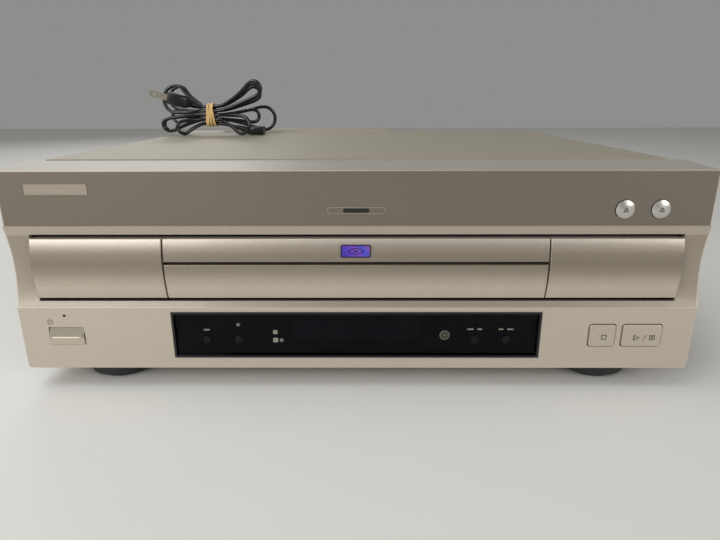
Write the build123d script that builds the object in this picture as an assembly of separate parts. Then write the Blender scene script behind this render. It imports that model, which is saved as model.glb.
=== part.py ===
from build123d import *
import math
import os

# A laserdisc and DVD combination player for a hi-fi rack, with its mains lead tied in a hank on top.
# Millimetres, +Z up, the front faces -Y, the origin is the middle of the footprint on the floor.

# Case
PANEL_WIDTH = 420.0          # front panel, side to side
COVER_WIDTH = 403.0          # top cover, side to side
PANEL_HEIGHT = 125.0
FOOT_HEIGHT = 14.0
LEDGE_DEPTH = 40.0           # the panel's top runs this far back
LEDGE_RISE = 1.6
FASCIA_Y = -188.0            # flat upper face of the front panel
CASE_REAR_Y = 185.3          # rear edge of the top cover
SHEET = 1.2                  # folded steel
SKIN = 3.0                   # panel wall
EDGE_RADIUS = 0.8            # front edges that catch the light

PANEL_HALF = PANEL_WIDTH / 2
COVER_HALF = COVER_WIDTH / 2
PANEL_BOTTOM_Z = FOOT_HEIGHT
PANEL_TOP_Z = FOOT_HEIGHT + PANEL_HEIGHT
LEDGE_REAR_Y = FASCIA_Y + LEDGE_DEPTH
COVER_TOP_Z = PANEL_TOP_Z + 2.4
FLOOR_Z = PANEL_BOTTOM_Z + SHEET         # upper side of the chassis floor
CHASSIS_HALF = COVER_HALF - 1.5
REAR_PLATE_Y = (CASE_REAR_Y - 2.3, CASE_REAR_Y - 0.9)

# Low field pressed up out of the cover
FIELD_X = (-155.0, 36.0)
FIELD_Y = (128.0, 176.0)
FIELD_RISE = 3.0
FIELD_SLOPE = 5.0
COVER_SLOTS = 14             # cooling slots in each side
COVER_SLOT_Y = 20.0
COVER_SLOT_PITCH = 9.0

# Front panel side view: fascia, lip, concave cove, lower face
FASCIA_BOTTOM_Z = PANEL_TOP_Z - 32.6
COVE_TOP = (FASCIA_Y - 1.2, PANEL_TOP_Z - 33.0)
COVE_MIDDLE = (FASCIA_Y + 2.6, PANEL_TOP_Z - 60.0)
COVE_BOTTOM = (FASCIA_Y - 2.2, PANEL_TOP_Z - 84.0)
LOWER_FACE_Y = COVE_BOTTOM[0]

# Tray slot and the four pieces of the tray door
SLOT_HALF = 196.2
SLOT_Z = (PANEL_TOP_Z - 80.0, PANEL_TOP_Z - 38.0)
DOOR_HALF = 195.5
DOOR_Z = (PANEL_TOP_Z - 77.7, PANEL_TOP_Z - 40.3)
DOOR_BULGE = 2.8
DOOR_CREST_Y = FASCIA_Y - 4.4
DOOR_WALL = 3.0
DOOR_EDGE = 2.0
DOOR_EDGE_RADIUS = 0.5
DOOR_GAP = 0.8               # between the caps and the two middle bands
BAND_HALF = 115.5
BAND_SPLIT_Z = (PANEL_TOP_Z - 55.8, PANEL_TOP_Z - 54.1)
DOOR_BACK_Y = FASCIA_Y + 7.4
DVD_BACK_Y = DOOR_BACK_Y - 0.6

# Controls: middle in X and Z, and size
POWER_WINDOW = (-181.9, PANEL_TOP_Z - 102.8, 22.2, 12.0)
STOP_WINDOW = (153.6, PANEL_TOP_Z - 102.4, 17.2, 15.6)
PLAY_WINDOW = (178.2, PANEL_TOP_Z - 102.4, 25.4, 15.6)
OPEN_BUTTONS = {"dvd_open_button": (158.0, PANEL_TOP_Z - 23.0), "ld_open_button": (178.9, PANEL_TOP_Z - 22.9)}
OPEN_HOLE_RADIUS = 5.8
STANDBY_LED = (-181.8, PANEL_TOP_Z - 89.2, 0.9)
BUTTON_GAP = 0.35
KEY_GAP = 0.55               # round the two large square buttons
DOME_RISE = 1.1              # of the open buttons' caps
BUTTON_TRAVEL = 1.2

# Display window and its four small buttons
WINDOW_HALF = 115.2
WINDOW_Z = (PANEL_TOP_Z - 117.7, PANEL_TOP_Z - 86.8)
WINDOW_RIM = 1.4
GLASS_Y = (FASCIA_Y - 0.7, FASCIA_Y + 1.3)
SMALL_BUTTONS = {"side_button": -94.2, "dimmer_button": -74.0, "skip_back_button": 74.8, "skip_forward_button": 94.3}
SMALL_BUTTON_Z = PANEL_TOP_Z - 105.9
SMALL_HOLE_RADIUS = 3.0

# Boards behind the buttons
FRONT_BOARD_Y = (-172.4, -170.8)
SWITCH_Y = FRONT_BOARD_Y[0] - 1.6
UPPER_BOARD_Y = (-174.8, -173.2)
UPPER_SWITCH_Y = UPPER_BOARD_Y[0] - 1.6
STEM_GAP = BUTTON_TRAVEL + 0.3

# Remote sensor, blank name bar and disc badge
SENSOR = (0.4, PANEL_TOP_Z - 23.5, 34.5, 4.2)
SENSOR_LENS = (15.6, 2.4)
NAME_BAR = (-175.2, PANEL_TOP_Z - 10.9, 37.0, 6.2)
BADGE = (0.0, PANEL_TOP_Z - 47.4, 18.0, 7.9)

# Discs and trays
SPINDLE_Y = -18.0
LD_RADIUS = 150.0
DVD_RADIUS = 60.0
LD_FLOOR_Z = 89.4            # where the large disc lies
LD_RIM_Z = LD_FLOOR_Z + 4.0
LD_DECK_Z = LD_FLOOR_Z - 3.0
LD_DECK_HALF = 187.0
LD_REAR_Y = 160.0
RUNNER_REAR_Y = 177.0
TONGUE_Z = (76.8, 80.2)
DVD_PLATE_Z = (83.9, 88.4)
DVD_PLATE_HALF = 75.4
DVD_REAR_Y = 72.0
CHANNEL_HALF = 76.0
CHANNEL_FLOOR_Z = (80.6, 83.1)
DRIVE_SLOT_HALF = 32.0       # way for the turntable and the pickup, open to the rear
GUIDE_X = (191.5, 195.5)

# Tray drive
GEAR_MODULE = 1.5
GEAR_TEETH = 16
RACK_TEETH = 68
GEAR_XY = (-132.3, -150.0)
GEAR_Z = (79.0, 84.0)
PULLEY_Z = (70.5, 75.0)
BIG_PULLEY_RADIUS = 15.0
SMALL_PULLEY_RADIUS = 4.0
MOTOR_X = -88.0

# Disc drive on its lifting base
LIFT = 12.0
BASE_Z = (46.0, 48.0)
BASE_HALF = 56.0
BASE_Y = (-45.0, 166.0)
POST_PLACES = [(-50.0, -38.0), (50.0, -38.0), (-50.0, 158.0), (50.0, 158.0)]
POST_RADIUS = 3.0
RUNNING_GAP = 0.05
RAIL_X = 22.0
RAIL_Z = 62.0
RAIL_RADIUS = 2.0
CARRIAGE_Y = (4.0, 40.0)
SCREW_XZ = (36.0, 56.0)
CAM_X = (58.0, 60.0)
CAM_PIN = (10.0, 47.0)       # Y and Z of the lifting pin
CAM_RUN = 24.0

# Clamp
BRIDGE_Z = (118.0, 119.5)
BRIDGE_Y = (52.0, 96.0)
ARM_TIP_RADIUS = 25.0
ARM_PIVOT = (78.0, 112.0)    # Y and Z
ARM_Z = (106.0, 108.0)

# Rear sockets and screws
INLET_XZ = (-160.0, 46.0)
OPTICAL_XZ = (150.0, 46.0)
JACK_FACE_Y = REAR_PLATE_Y[1]
JACK_TIP_Y = -DOOR_CREST_Y
JACKS = {
    "phono": {"places": [(x, z) for x in (66.0, 86.0, 106.0, 128.0) for z in (68.0, 46.0)], "hole": 5.2},
    "din": {"places": [(42.0, 68.0), (42.0, 46.0)], "hole": 6.2},
    "mini": {"places": [(12.0, 46.0), (-4.0, 46.0)], "hole": 3.6},
}
AV_BOARD_Y = (172.0, 173.6)
REAR_SCREWS = [(-190.0, 30.0), (190.0, 30.0), (-190.0, 128.0), (190.0, 128.0), (26.0, 57.0), (138.5, 57.0)]

# Feet
FEET = [(-158.0, 22.0), (146.0, 18.0)]      # Y and radius, front then rear
FOOT_X = 162.0
PAD_THICKNESS = 2.5

# Mains lead: round two-core cord in a hank of loops, tied at the waist
CORD_DIAMETER = 3.6
WAIST_X = -155.5
WAIST_HALF = 9.0
WAIST_Y = 97.0
ROW_STEP = 4.2
COLUMN_STEP = 4.6
ROW_ZERO_Z = COVER_TOP_Z + 16.4
LEG_SHARES = (0.3, 0.66)     # corners along each leg of a loop
LEG_SPREAD = 1.25            # how late a loop's legs part
LEG_BEND = 1.3               # how late a loop rises or droops
TIP_TURN = 52.0              # turn at each of the four corners of a tip
FILLET_SHARE = 0.45
PLUG_NECK = (-176.0, 88.6, COVER_TOP_Z + 32.6)
PLUG_FACE = (-197.0, 81.6, COVER_TOP_Z + 38.4)
PLUG_SIZE = (18.0, 12.5)
BLADE_SIZE = (1.5, 6.3)
BLADE_LENGTH = 17.0
BLADE_SPACING = 12.7
CONNECTOR_END = (WAIST_X + 25.5, WAIST_Y - 0.9, COVER_TOP_Z + 8.2)
CONNECTOR_NECK = (-121.0, 95.5, COVER_TOP_Z + 5.2)
CONNECTOR_FACE = (-101.0, 94.5, COVER_TOP_Z + 4.6)
CONNECTOR_SIZE = (13.6, 8.4)
PIN_SPACING = 8.6            # between the pins of the inlet and the holes of the connector
BAND_WIDTH = 2.2


def block(x, y, z):
    """A box between its lower and upper limits along X, Y and Z."""
    low = (x[0], y[0], z[0])
    size = (x[1] - x[0], y[1] - y[0], z[1] - z[0])
    return Pos(*low) * Box(*size, align=(Align.MIN, Align.MIN, Align.MIN))


def upright(x, y, radius, z):
    """A cylinder along Z between two heights."""
    return Pos(x, y, z[0]) * Cylinder(radius, z[1] - z[0], align=(Align.CENTER, Align.CENTER, Align.MIN))


def rod(x, z, radius, y):
    """A cylinder along Y between two depths."""
    middle = (y[0] + y[1]) / 2
    return Pos(x, middle, z) * Rot(90, 0, 0) * Cylinder(radius, y[1] - y[0])


def axle(y, z, radius, x):
    """A cylinder along X between two sides."""
    middle = (x[0] + x[1]) / 2
    return Pos(middle, y, z) * Rot(0, 90, 0) * Cylinder(radius, x[1] - x[0])


def across(face, x):
    """A side view, drawn in Y and Z, extruded along X."""
    return extrude(Plane.YZ.offset(x[0]) * face, amount=x[1] - x[0])


def fronted(face, y):
    """A front view, drawn in X and Z, extruded along Y."""
    return extrude(Plane.XZ.offset(-y[0]) * face, amount=y[0] - y[1])


def window(place, y, grow=0.0, corner=1.8):
    """A rounded rectangle seen from the front, extruded along Y."""
    x, z, width, height = place
    face = Pos(x, z) * RectangleRounded(width + 2 * grow, height + 2 * grow, corner)
    return fronted(face, y)


def separate(items):
    """Separate solids kept together as one node."""
    return Compound(children=list(items))


# ---------------------------------------------------------------- case

def panel_outer():
    """Side view of the front panel: ledge, fascia, cove and lower face."""
    upper = Polyline(
        (LEDGE_REAR_Y, PANEL_BOTTOM_Z),
        (LEDGE_REAR_Y, PANEL_TOP_Z + LEDGE_RISE),
        (FASCIA_Y, PANEL_TOP_Z),
        (FASCIA_Y, FASCIA_BOTTOM_Z),
        COVE_TOP,
    )
    cove = ThreePointArc(COVE_TOP, COVE_MIDDLE, COVE_BOTTOM)
    lower = Polyline(COVE_BOTTOM, (LOWER_FACE_Y, PANEL_BOTTOM_Z), (LEDGE_REAR_Y, PANEL_BOTTOM_Z))
    return make_face(upper + cove + lower)


def panel_inner():
    """Side view of the hollow behind the front panel, open to the rear."""
    open_y = LEDGE_REAR_Y - SKIN
    return make_face(Polyline(
        (open_y, PANEL_BOTTOM_Z + SKIN),
        (open_y, PANEL_TOP_Z + LEDGE_RISE - SKIN),
        (FASCIA_Y + SKIN, PANEL_TOP_Z - SKIN),
        (FASCIA_Y + SKIN, COVE_TOP[1]),
        (COVE_MIDDLE[0] + SKIN, COVE_MIDDLE[1]),
        (LOWER_FACE_Y + SKIN, COVE_BOTTOM[1] + 2),
        (LOWER_FACE_Y + SKIN, PANEL_BOTTOM_Z + SKIN),
        close=True,
    ))


def front_panel():
    """The moulded front panel with its slot, windows and button holes."""
    panel = across(panel_outer(), (-PANEL_HALF, PANEL_HALF))
    bottom_sides = panel.edges().filter_by(Axis.Y).group_by(Axis.Z)[0]
    panel = fillet(bottom_sides, 2.5)
    top_front = panel.edges().filter_by(Axis.X).filter_by_position(Axis.Y, FASCIA_Y - 0.1, FASCIA_Y + 0.1)
    panel = fillet(top_front.sort_by(Axis.Z)[-1], EDGE_RADIUS)
    panel -= across(panel_inner(), (-PANEL_HALF + SKIN, PANEL_HALF - SKIN))
    rear_opening = (PANEL_BOTTOM_Z + SKIN, PANEL_TOP_Z + LEDGE_RISE - SKIN)
    panel -= block((-CHASSIS_HALF + 3, CHASSIS_HALF - 3), (LEDGE_REAR_Y - 10, LEDGE_REAR_Y + 1), rear_opening)
    through = (FASCIA_Y - 10, FASCIA_Y + 10)
    panel -= block((-SLOT_HALF, SLOT_HALF), through, SLOT_Z)
    panel -= block((-WINDOW_HALF, WINDOW_HALF), through, WINDOW_Z)
    for place in (POWER_WINDOW, STOP_WINDOW, PLAY_WINDOW):
        panel -= window(place, through, corner=2.2 if place is not POWER_WINDOW else 0.6)
    for x, z in OPEN_BUTTONS.values():
        panel -= rod(x, z, OPEN_HOLE_RADIUS, through)
    x, z, radius = STANDBY_LED
    panel -= rod(x, z, radius, through)
    recess = (FASCIA_Y - 1, FASCIA_Y + 0.8)
    panel -= sensor_ring(recess)
    panel -= window(NAME_BAR, recess, corner=0.8)
    panel -= sensor_bar(through)
    return panel


def sensor_ring(y):
    """The thin outline round the remote sensor."""
    x, z, width, height = SENSOR
    line = 0.6
    outer = SlotOverall(width, height)
    inner = SlotOverall(width - 2 * line, height - 2 * line)
    return fronted(Pos(x, z) * (outer - inner), y)


def sensor_bar(y):
    """The dark window of the remote sensor."""
    x, z = SENSOR[:2]
    return fronted(Pos(x, z) * SlotOverall(*SENSOR_LENS), y)


def top_cover():
    """The folded steel cover with the low raised field at its rear."""
    outer = block((-COVER_HALF, COVER_HALF), (LEDGE_REAR_Y, CASE_REAR_Y), (PANEL_BOTTOM_Z + 2, COVER_TOP_Z))
    outer = fillet(outer.edges().filter_by(Axis.Y).group_by(Axis.Z)[-1], 2.0)
    inside_y = (LEDGE_REAR_Y - 1, CASE_REAR_Y + 1)
    cover = outer - block((-CHASSIS_HALF, CHASSIS_HALF), inside_y, (0, COVER_TOP_Z - SHEET))
    cover += raised_field(COVER_TOP_Z, 0.0)
    cover -= raised_field(COVER_TOP_Z - SHEET, 1.0)
    for side in (-1, 1):
        x = sorted((side * (CHASSIS_HALF - 1), side * (COVER_HALF + 1)))
        for step in range(COVER_SLOTS):
            y = COVER_SLOT_Y + step * COVER_SLOT_PITCH
            cover -= block(x, (y, y + 4), (28, 52))
    return cover


def raised_field(base_z, inset):
    """A flat-topped field with sloped ends, pressed up out of the cover."""
    steps = []
    for shrink, z in ((inset, base_z - 0.01), (inset + FIELD_SLOPE, base_z + FIELD_RISE)):
        width = FIELD_X[1] - FIELD_X[0] - 2 * shrink
        depth = FIELD_Y[1] - FIELD_Y[0] - 2 * shrink
        steps.append(Pos(sum(FIELD_X) / 2, sum(FIELD_Y) / 2, z) * Rectangle(width, depth))
    return loft(steps, ruled=True)


def bottom_chassis():
    """Floor pan with side flanges, a front wall and cooling slots."""
    y = (LEDGE_REAR_Y, REAR_PLATE_Y[0])
    pan = block((-CHASSIS_HALF, CHASSIS_HALF), y, (PANEL_BOTTOM_Z, FLOOR_Z))
    for side in (-1, 1):
        x = sorted((side * CHASSIS_HALF, side * (CHASSIS_HALF - SHEET)))
        pan += block(x, y, (FLOOR_Z, 60.0))
    pan += block((-175.0, 175.0), (y[0], y[0] + SHEET), (FLOOR_Z, 34.0))
    slots = []
    for x in range(-160, -70, 12):
        slots.append(block((x, x + 5), (-110, -60), (PANEL_BOTTOM_Z - 1, FLOOR_Z + 1)))
        slots.append(block((-x - 5, -x), (-110, -60), (PANEL_BOTTOM_Z - 1, FLOOR_Z + 1)))
    return pan - slots


def rear_panel():
    """Rear plate with holes for the inlet, the sockets and cooling air."""
    half = CHASSIS_HALF
    plate = block((-half, half), REAR_PLATE_Y, (PANEL_BOTTOM_Z, COVER_TOP_Z - SHEET))
    through = (REAR_PLATE_Y[0] - 1, REAR_PLATE_Y[1] + 1)
    x, z = INLET_XZ
    plate -= block((x - 11, x + 11), through, (z - 7, z + 7))
    for jacks in JACKS.values():
        for x, z in jacks["places"]:
            plate -= rod(x, z, jacks["hole"], through)
    x, z = OPTICAL_XZ
    plate -= block((x - 6.2, x + 6.2), through, (z - 6.2, z + 6.2))
    slots = [block((x, x + 3), through, (112, 130)) for x in range(-170, -60, 7)]
    return plate - slots


# ---------------------------------------------------------------- rear sockets

def phono_jack(x, z):
    """One phono socket: body behind the plate, coloured ring, barrel and bore."""
    jack = block((x - 5.5, x + 5.5), (AV_BOARD_Y[1], REAR_PLATE_Y[0]), (z - 7, z + 7))
    jack += rod(x, z, 5.2, (REAR_PLATE_Y[0], JACK_FACE_Y))
    jack += rod(x, z, 6.4, (JACK_FACE_Y, JACK_FACE_Y + 1.2))
    jack += rod(x, z, 4.15, (JACK_FACE_Y + 1.2, JACK_TIP_Y))
    return jack - rod(x, z, 1.7, (JACK_TIP_Y - 13, JACK_TIP_Y + 1))


def din_jack(x, z):
    """One round four-pin socket with its keyway."""
    jack = block((x - 7, x + 7), (AV_BOARD_Y[1], REAR_PLATE_Y[0]), (z - 7, z + 7))
    jack += rod(x, z, 6.2, (REAR_PLATE_Y[0], JACK_FACE_Y + 2.0))
    jack -= rod(x, z, 4.8, (REAR_PLATE_Y[0] - 5, JACK_FACE_Y + 3))
    key = block((x - 2, x + 2), (REAR_PLATE_Y[0] - 5, JACK_FACE_Y + 1), (z - 1.4, z + 1.4))
    return jack + key


def mini_jack(x, z):
    """One 3.5 mm control socket."""
    jack = block((x - 5, x + 5), (AV_BOARD_Y[1], REAR_PLATE_Y[0]), (z - 5, z + 5))
    jack += rod(x, z, 3.6, (REAR_PLATE_Y[0], JACK_FACE_Y + 1.0))
    return jack - rod(x, z, 1.8, (REAR_PLATE_Y[0] - 8, JACK_FACE_Y + 2))


def rear_sockets():
    """The sockets of the rear panel."""
    x, z = OPTICAL_XZ
    optical = block((x - 6, x + 6), (AV_BOARD_Y[1], JACK_FACE_Y + 1.0), (z - 6, z + 6))
    optical -= block((x - 3, x + 3), (JACK_FACE_Y - 6, JACK_FACE_Y + 2), (z - 3, z + 3))
    signal = [din_jack(*place) for place in JACKS["din"]["places"]]
    signal += [mini_jack(*place) for place in JACKS["mini"]["places"]]
    return {
        "phono_jacks": separate(phono_jack(*place) for place in JACKS["phono"]["places"]),
        "signal_sockets": separate(signal + [optical]),
        "mains_inlet": mains_inlet(),
    }


def rear_screw(x, z):
    """A low round screw head on the rear plate."""
    head = rod(x, z, 3.4, (JACK_FACE_Y, JACK_FACE_Y + 1.8))
    slot = block((x - 2.4, x + 2.4), (JACK_FACE_Y + 1.0, JACK_FACE_Y + 2), (z - 0.4, z + 0.4))
    return head - slot - Pos(x, 0, z) * Rot(0, 90, 0) * Pos(-x, 0, -z) * slot


def mains_inlet():
    """Two-pin mains inlet: a rimmed well with two round pins."""
    x, z = INLET_XZ
    rim_y = JACK_FACE_Y + 2.0
    well_y = rim_y - 14.0
    inlet = block((x - 11, x + 11), (well_y - 3, JACK_FACE_Y), (z - 7, z + 7))
    inlet += block((x - 15, x + 15), (JACK_FACE_Y, rim_y), (z - 9.5, z + 9.5))
    well = Pos(x, z) * SlotOverall(14.8, 8.6)
    inlet -= fronted(well, (well_y, rim_y + 1))
    for side in (-1, 1):
        inlet += rod(x + side * PIN_SPACING / 2, z, 1.2, (well_y, rim_y - 3))
    return inlet


# ---------------------------------------------------------------- feet and screws

def feet():
    """Stepped feet with soft pads, the front pair larger."""
    bases, pads = [], []
    for y, radius in FEET:
        for x in (-FOOT_X, FOOT_X):
            foot = upright(x, y, radius, (PAD_THICKNESS, FOOT_HEIGHT - 3))
            foot = fillet(foot.edges().filter_by(GeomType.CIRCLE).group_by(Axis.Z)[0], 1.5)
            foot += upright(x, y, radius - 4, (FOOT_HEIGHT - 3, FOOT_HEIGHT))
            bases.append(foot)
            pads.append(upright(x, y, radius - 5, (0, PAD_THICKNESS)))
    return {"feet": separate(bases), "foot_pads": separate(pads)}


def case_screws():
    """Screws of the rear plate, and four at the cover's sides with wide washers."""
    screws = [rear_screw(x, z) for x, z in REAR_SCREWS]
    for side in (-1, 1):
        for y in (-120.0, 165.0):
            washer = axle(y, 40.0, 6.0, sorted((side * COVER_HALF, side * (COVER_HALF + 0.8))))
            head = axle(y, 40.0, 4.0, sorted((side * (COVER_HALF + 0.8), side * (COVER_HALF + 2.6))))
            cross = block(
                sorted((side * (COVER_HALF + 1.8), side * (COVER_HALF + 3))), (y - 0.5, y + 0.5), (37.6, 42.4)
            )
            screws.append(washer + head - cross)
    return separate(screws)


# ---------------------------------------------------------------- display and controls

def display():
    """Window frame, dark glass, fluorescent display and the board behind."""
    middle_z = (WINDOW_Z[0] + WINDOW_Z[1]) / 2
    height = WINDOW_Z[1] - WINDOW_Z[0]
    frame_y = (LOWER_FACE_Y - 0.5, GLASS_Y[1])
    inside = (0.0, middle_z, 2 * (WINDOW_HALF - WINDOW_RIM), height - 2 * WINDOW_RIM)
    outside = block((-WINDOW_HALF, WINDOW_HALF), frame_y, WINDOW_Z)
    nodes = {"display_frame": outside - window(inside, (frame_y[0] - 1, frame_y[1] + 1), corner=0.8)}
    glass = window(inside, GLASS_Y, corner=0.8)
    for x in SMALL_BUTTONS.values():
        glass -= rod(x, SMALL_BUTTON_Z, SMALL_HOLE_RADIUS, (GLASS_Y[0] - 1, GLASS_Y[1] + 1))
    nodes["display_window"] = glass
    envelope = block((-44, 44), (-182.0, -176.0), (27.5, 49.5))
    envelope = fillet(envelope.edges().filter_by(Axis.Y), 1.0)
    legs = block((-40, 40), (-176.0, FRONT_BOARD_Y[0]), (30, 47))
    nodes["fluorescent_display"] = envelope + legs
    board = block((-203.0, 203.0), FRONT_BOARD_Y, (PANEL_BOTTOM_Z + SKIN, 56.0))
    board += block((-203.0, 203.0), (FRONT_BOARD_Y[1], FRONT_BOARD_Y[1] + 1.2), (PANEL_BOTTOM_Z + SKIN, 20.2))
    for x in [place[0] for place in (POWER_WINDOW, STOP_WINDOW, PLAY_WINDOW)]:
        board += tact_switch(x, POWER_WINDOW[1])
    for x in SMALL_BUTTONS.values():
        board += tact_switch(x, SMALL_BUTTON_Z)
    led_x, led_z, led_radius = STANDBY_LED
    board += rod(led_x, led_z, led_radius, (LOWER_FACE_Y - 0.1, LOWER_FACE_Y + SKIN + 1))
    board += rod(led_x, led_z, 1.6, (LOWER_FACE_Y + SKIN, FRONT_BOARD_Y[0]))
    nodes["front_boards"] = separate([board, upper_board()])
    return nodes


def upper_board():
    """The narrow board behind the fascia, with its switches and the remote sensor."""
    upper = block((-12.0, 192.0), UPPER_BOARD_Y, (106.0, 128.0))
    sensor_x, sensor_z = SENSOR[:2]
    upper += block(
        (sensor_x - 9, sensor_x + 9), (FASCIA_Y + SKIN, UPPER_BOARD_Y[0]), (sensor_z - 5, sensor_z + 5)
    )
    for x, z in OPEN_BUTTONS.values():
        upper += block((x - 3, x + 3), (UPPER_SWITCH_Y, UPPER_BOARD_Y[0]), (z - 3, z + 3))
    for x in (148.0, 190.0):
        upper += rod(x, 126.0, 1.8, (FASCIA_Y + SKIN, UPPER_BOARD_Y[0]))
    return upper


def sprung_button(face, front_y, wall_y, switch_y, flange_grow, stem):
    """A push button: cap, a wider flange behind the wall and a stem to its switch."""
    cap = fronted(face, (front_y, wall_y + BUTTON_GAP))
    flange = fronted(offset(face, amount=flange_grow), (wall_y + BUTTON_GAP, wall_y + 1.6))
    centre = face.center()
    reach = (wall_y + 1.6, switch_y - STEM_GAP)
    pin = block((centre.X - stem, centre.X + stem), reach, (centre.Y - stem, centre.Y + stem))
    return cap + flange + pin


def controls():
    """Every push button, with its switch on the board behind."""
    nodes = {}
    wall_y = LOWER_FACE_Y + SKIN
    for name, place in (("stop_button", STOP_WINDOW), ("play_button", PLAY_WINDOW)):
        x, z, width, height = place
        face = Pos(x, z) * RectangleRounded(width - 2 * KEY_GAP, height - 2 * KEY_GAP, 1.8)
        button = sprung_button(face, LOWER_FACE_Y - 1.2, wall_y, SWITCH_Y, 1.1, 2.0)
        rim = button.edges().group_by(Axis.Y)[0]
        nodes[name] = fillet(rim, 0.7)
    nodes["power_button"] = power_button(wall_y)
    for name, (x, z) in OPEN_BUTTONS.items():
        cap_radius = OPEN_HOLE_RADIUS - BUTTON_GAP
        front_y = FASCIA_Y - 1.8
        button = sprung_button(Pos(x, z) * Circle(cap_radius), front_y, FASCIA_Y + SKIN, UPPER_SWITCH_Y, 1.2, 1.5)
        dome_radius = (cap_radius ** 2 + DOME_RISE ** 2) / (2 * DOME_RISE)
        nodes[name] = button & Pos(x, front_y + dome_radius, z) * Sphere(dome_radius)
    for name, x in SMALL_BUTTONS.items():
        face = Pos(x, SMALL_BUTTON_Z) * Circle(SMALL_HOLE_RADIUS - BUTTON_GAP)
        button = sprung_button(face, GLASS_Y[0] - 0.9, GLASS_Y[1], SWITCH_Y, 0.9, 1.2)
        rim = button.edges().group_by(Axis.Y)[0]
        nodes[name] = fillet(rim, 0.5)
    return nodes


def power_button(wall_y):
    """The power button: a sloped upper facet over a raised ridge."""
    x, z, width, height = POWER_WINDOW
    low, high = z - height / 2 + BUTTON_GAP, z + height / 2 - BUTTON_GAP
    ridge_z = z - 0.6
    side = make_face(Polyline(
        (wall_y + BUTTON_GAP, low), (LOWER_FACE_Y - 0.5, low), (LOWER_FACE_Y - 1.3, ridge_z),
        (LOWER_FACE_Y + 1.4, high), (wall_y + BUTTON_GAP, high), close=True,
    ))
    half = width / 2 - BUTTON_GAP
    cap = across(side, (x - half, x + half))
    face = Pos(x, z) * Rectangle(width + 1.0, height + 1.0)
    flange = fronted(face, (wall_y + BUTTON_GAP, wall_y + 1.6))
    stem = block((x - 2, x + 2), (wall_y + 1.6, SWITCH_Y - STEM_GAP), (z - 2, z + 2))
    return cap + flange + stem


def tact_switch(x, z):
    """A small switch on the front board."""
    return block((x - 3, x + 3), (SWITCH_Y, FRONT_BOARD_Y[0]), (z - 3, z + 3))


def fascia_trim():
    """Outline and window of the remote sensor, and the blank name bar."""
    trim_y = (FASCIA_Y - 0.3, FASCIA_Y + 0.8)
    return {
        "fascia_trim": separate([sensor_ring(trim_y), window(NAME_BAR, trim_y, corner=0.8)]),
        "sensor_window": sensor_bar((FASCIA_Y - 0.2, FASCIA_Y + SKIN)),
    }


# ---------------------------------------------------------------- tray door and trays

def bulge_y(height):
    """Depth of the door's bulged front at a height."""
    low, high = DOOR_Z
    share = (2 * height - low - high) / (high - low)
    return DOOR_CREST_Y + DOOR_BULGE * share * share


def door_outline(z, back):
    """Side view of one door piece without its hollow."""
    middle = (z[0] + z[1]) / 2
    front = ThreePointArc((bulge_y(z[0]), z[0]), (bulge_y(middle), middle), (bulge_y(z[1]), z[1]))
    sides = Polyline((bulge_y(z[1]), z[1]), (back, z[1]), (back, z[0]), (bulge_y(z[0]), z[0]))
    return make_face(front + sides)


def door_piece(x, z, back=DOOR_BACK_Y):
    """One door piece: a bulged wall, hollow at the rear, closed at its ends."""
    hollow = make_face(Polyline(
        (bulge_y(z[0]) + DOOR_WALL, z[0] + DOOR_EDGE), (bulge_y(z[1]) + DOOR_WALL, z[1] - DOOR_EDGE),
        (back + 1, z[1] - DOOR_EDGE), (back + 1, z[0] + DOOR_EDGE), close=True,
    ))
    piece = across(door_outline(z, back), x)
    front = piece.faces().filter_by(GeomType.CYLINDER)
    piece = fillet(front.edges(), DOOR_EDGE_RADIUS)
    return piece - across(hollow, (x[0] + DOOR_EDGE, x[1] - DOOR_EDGE))


def doors():
    """Two caps, the lower band and the upper band with its badge."""
    cap_x = (BAND_HALF + DOOR_GAP, DOOR_HALF)
    nodes = {
        "tray_cap_right": door_piece(cap_x, DOOR_Z),
        "tray_cap_left": door_piece((-cap_x[1], -cap_x[0]), DOOR_Z),
        "tray_lower_band": door_piece((-BAND_HALF, BAND_HALF), (DOOR_Z[0], BAND_SPLIT_Z[0])),
    }
    upper = door_piece((-BAND_HALF, BAND_HALF), (BAND_SPLIT_Z[1], DOOR_Z[1]), DVD_BACK_Y)
    surface_y = bulge_y(BADGE[1])
    seat_y = surface_y + 0.8
    upper -= window(BADGE, (DOOR_CREST_Y - 2, seat_y), corner=1.0)
    nodes["dvd_tray_front"] = upper
    nodes["disc_badge"] = window(BADGE, (surface_y - 0.5, seat_y), corner=1.0)
    return nodes


def drive_slot(z):
    """The way through a tray for the turntable and the pickup, open to the rear."""
    slot = block((-DRIVE_SLOT_HALF, DRIVE_SLOT_HALF), (SPINDLE_Y, LD_REAR_Y + 5), z)
    return slot + upright(0, SPINDLE_Y, DRIVE_SLOT_HALF, z)


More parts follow.
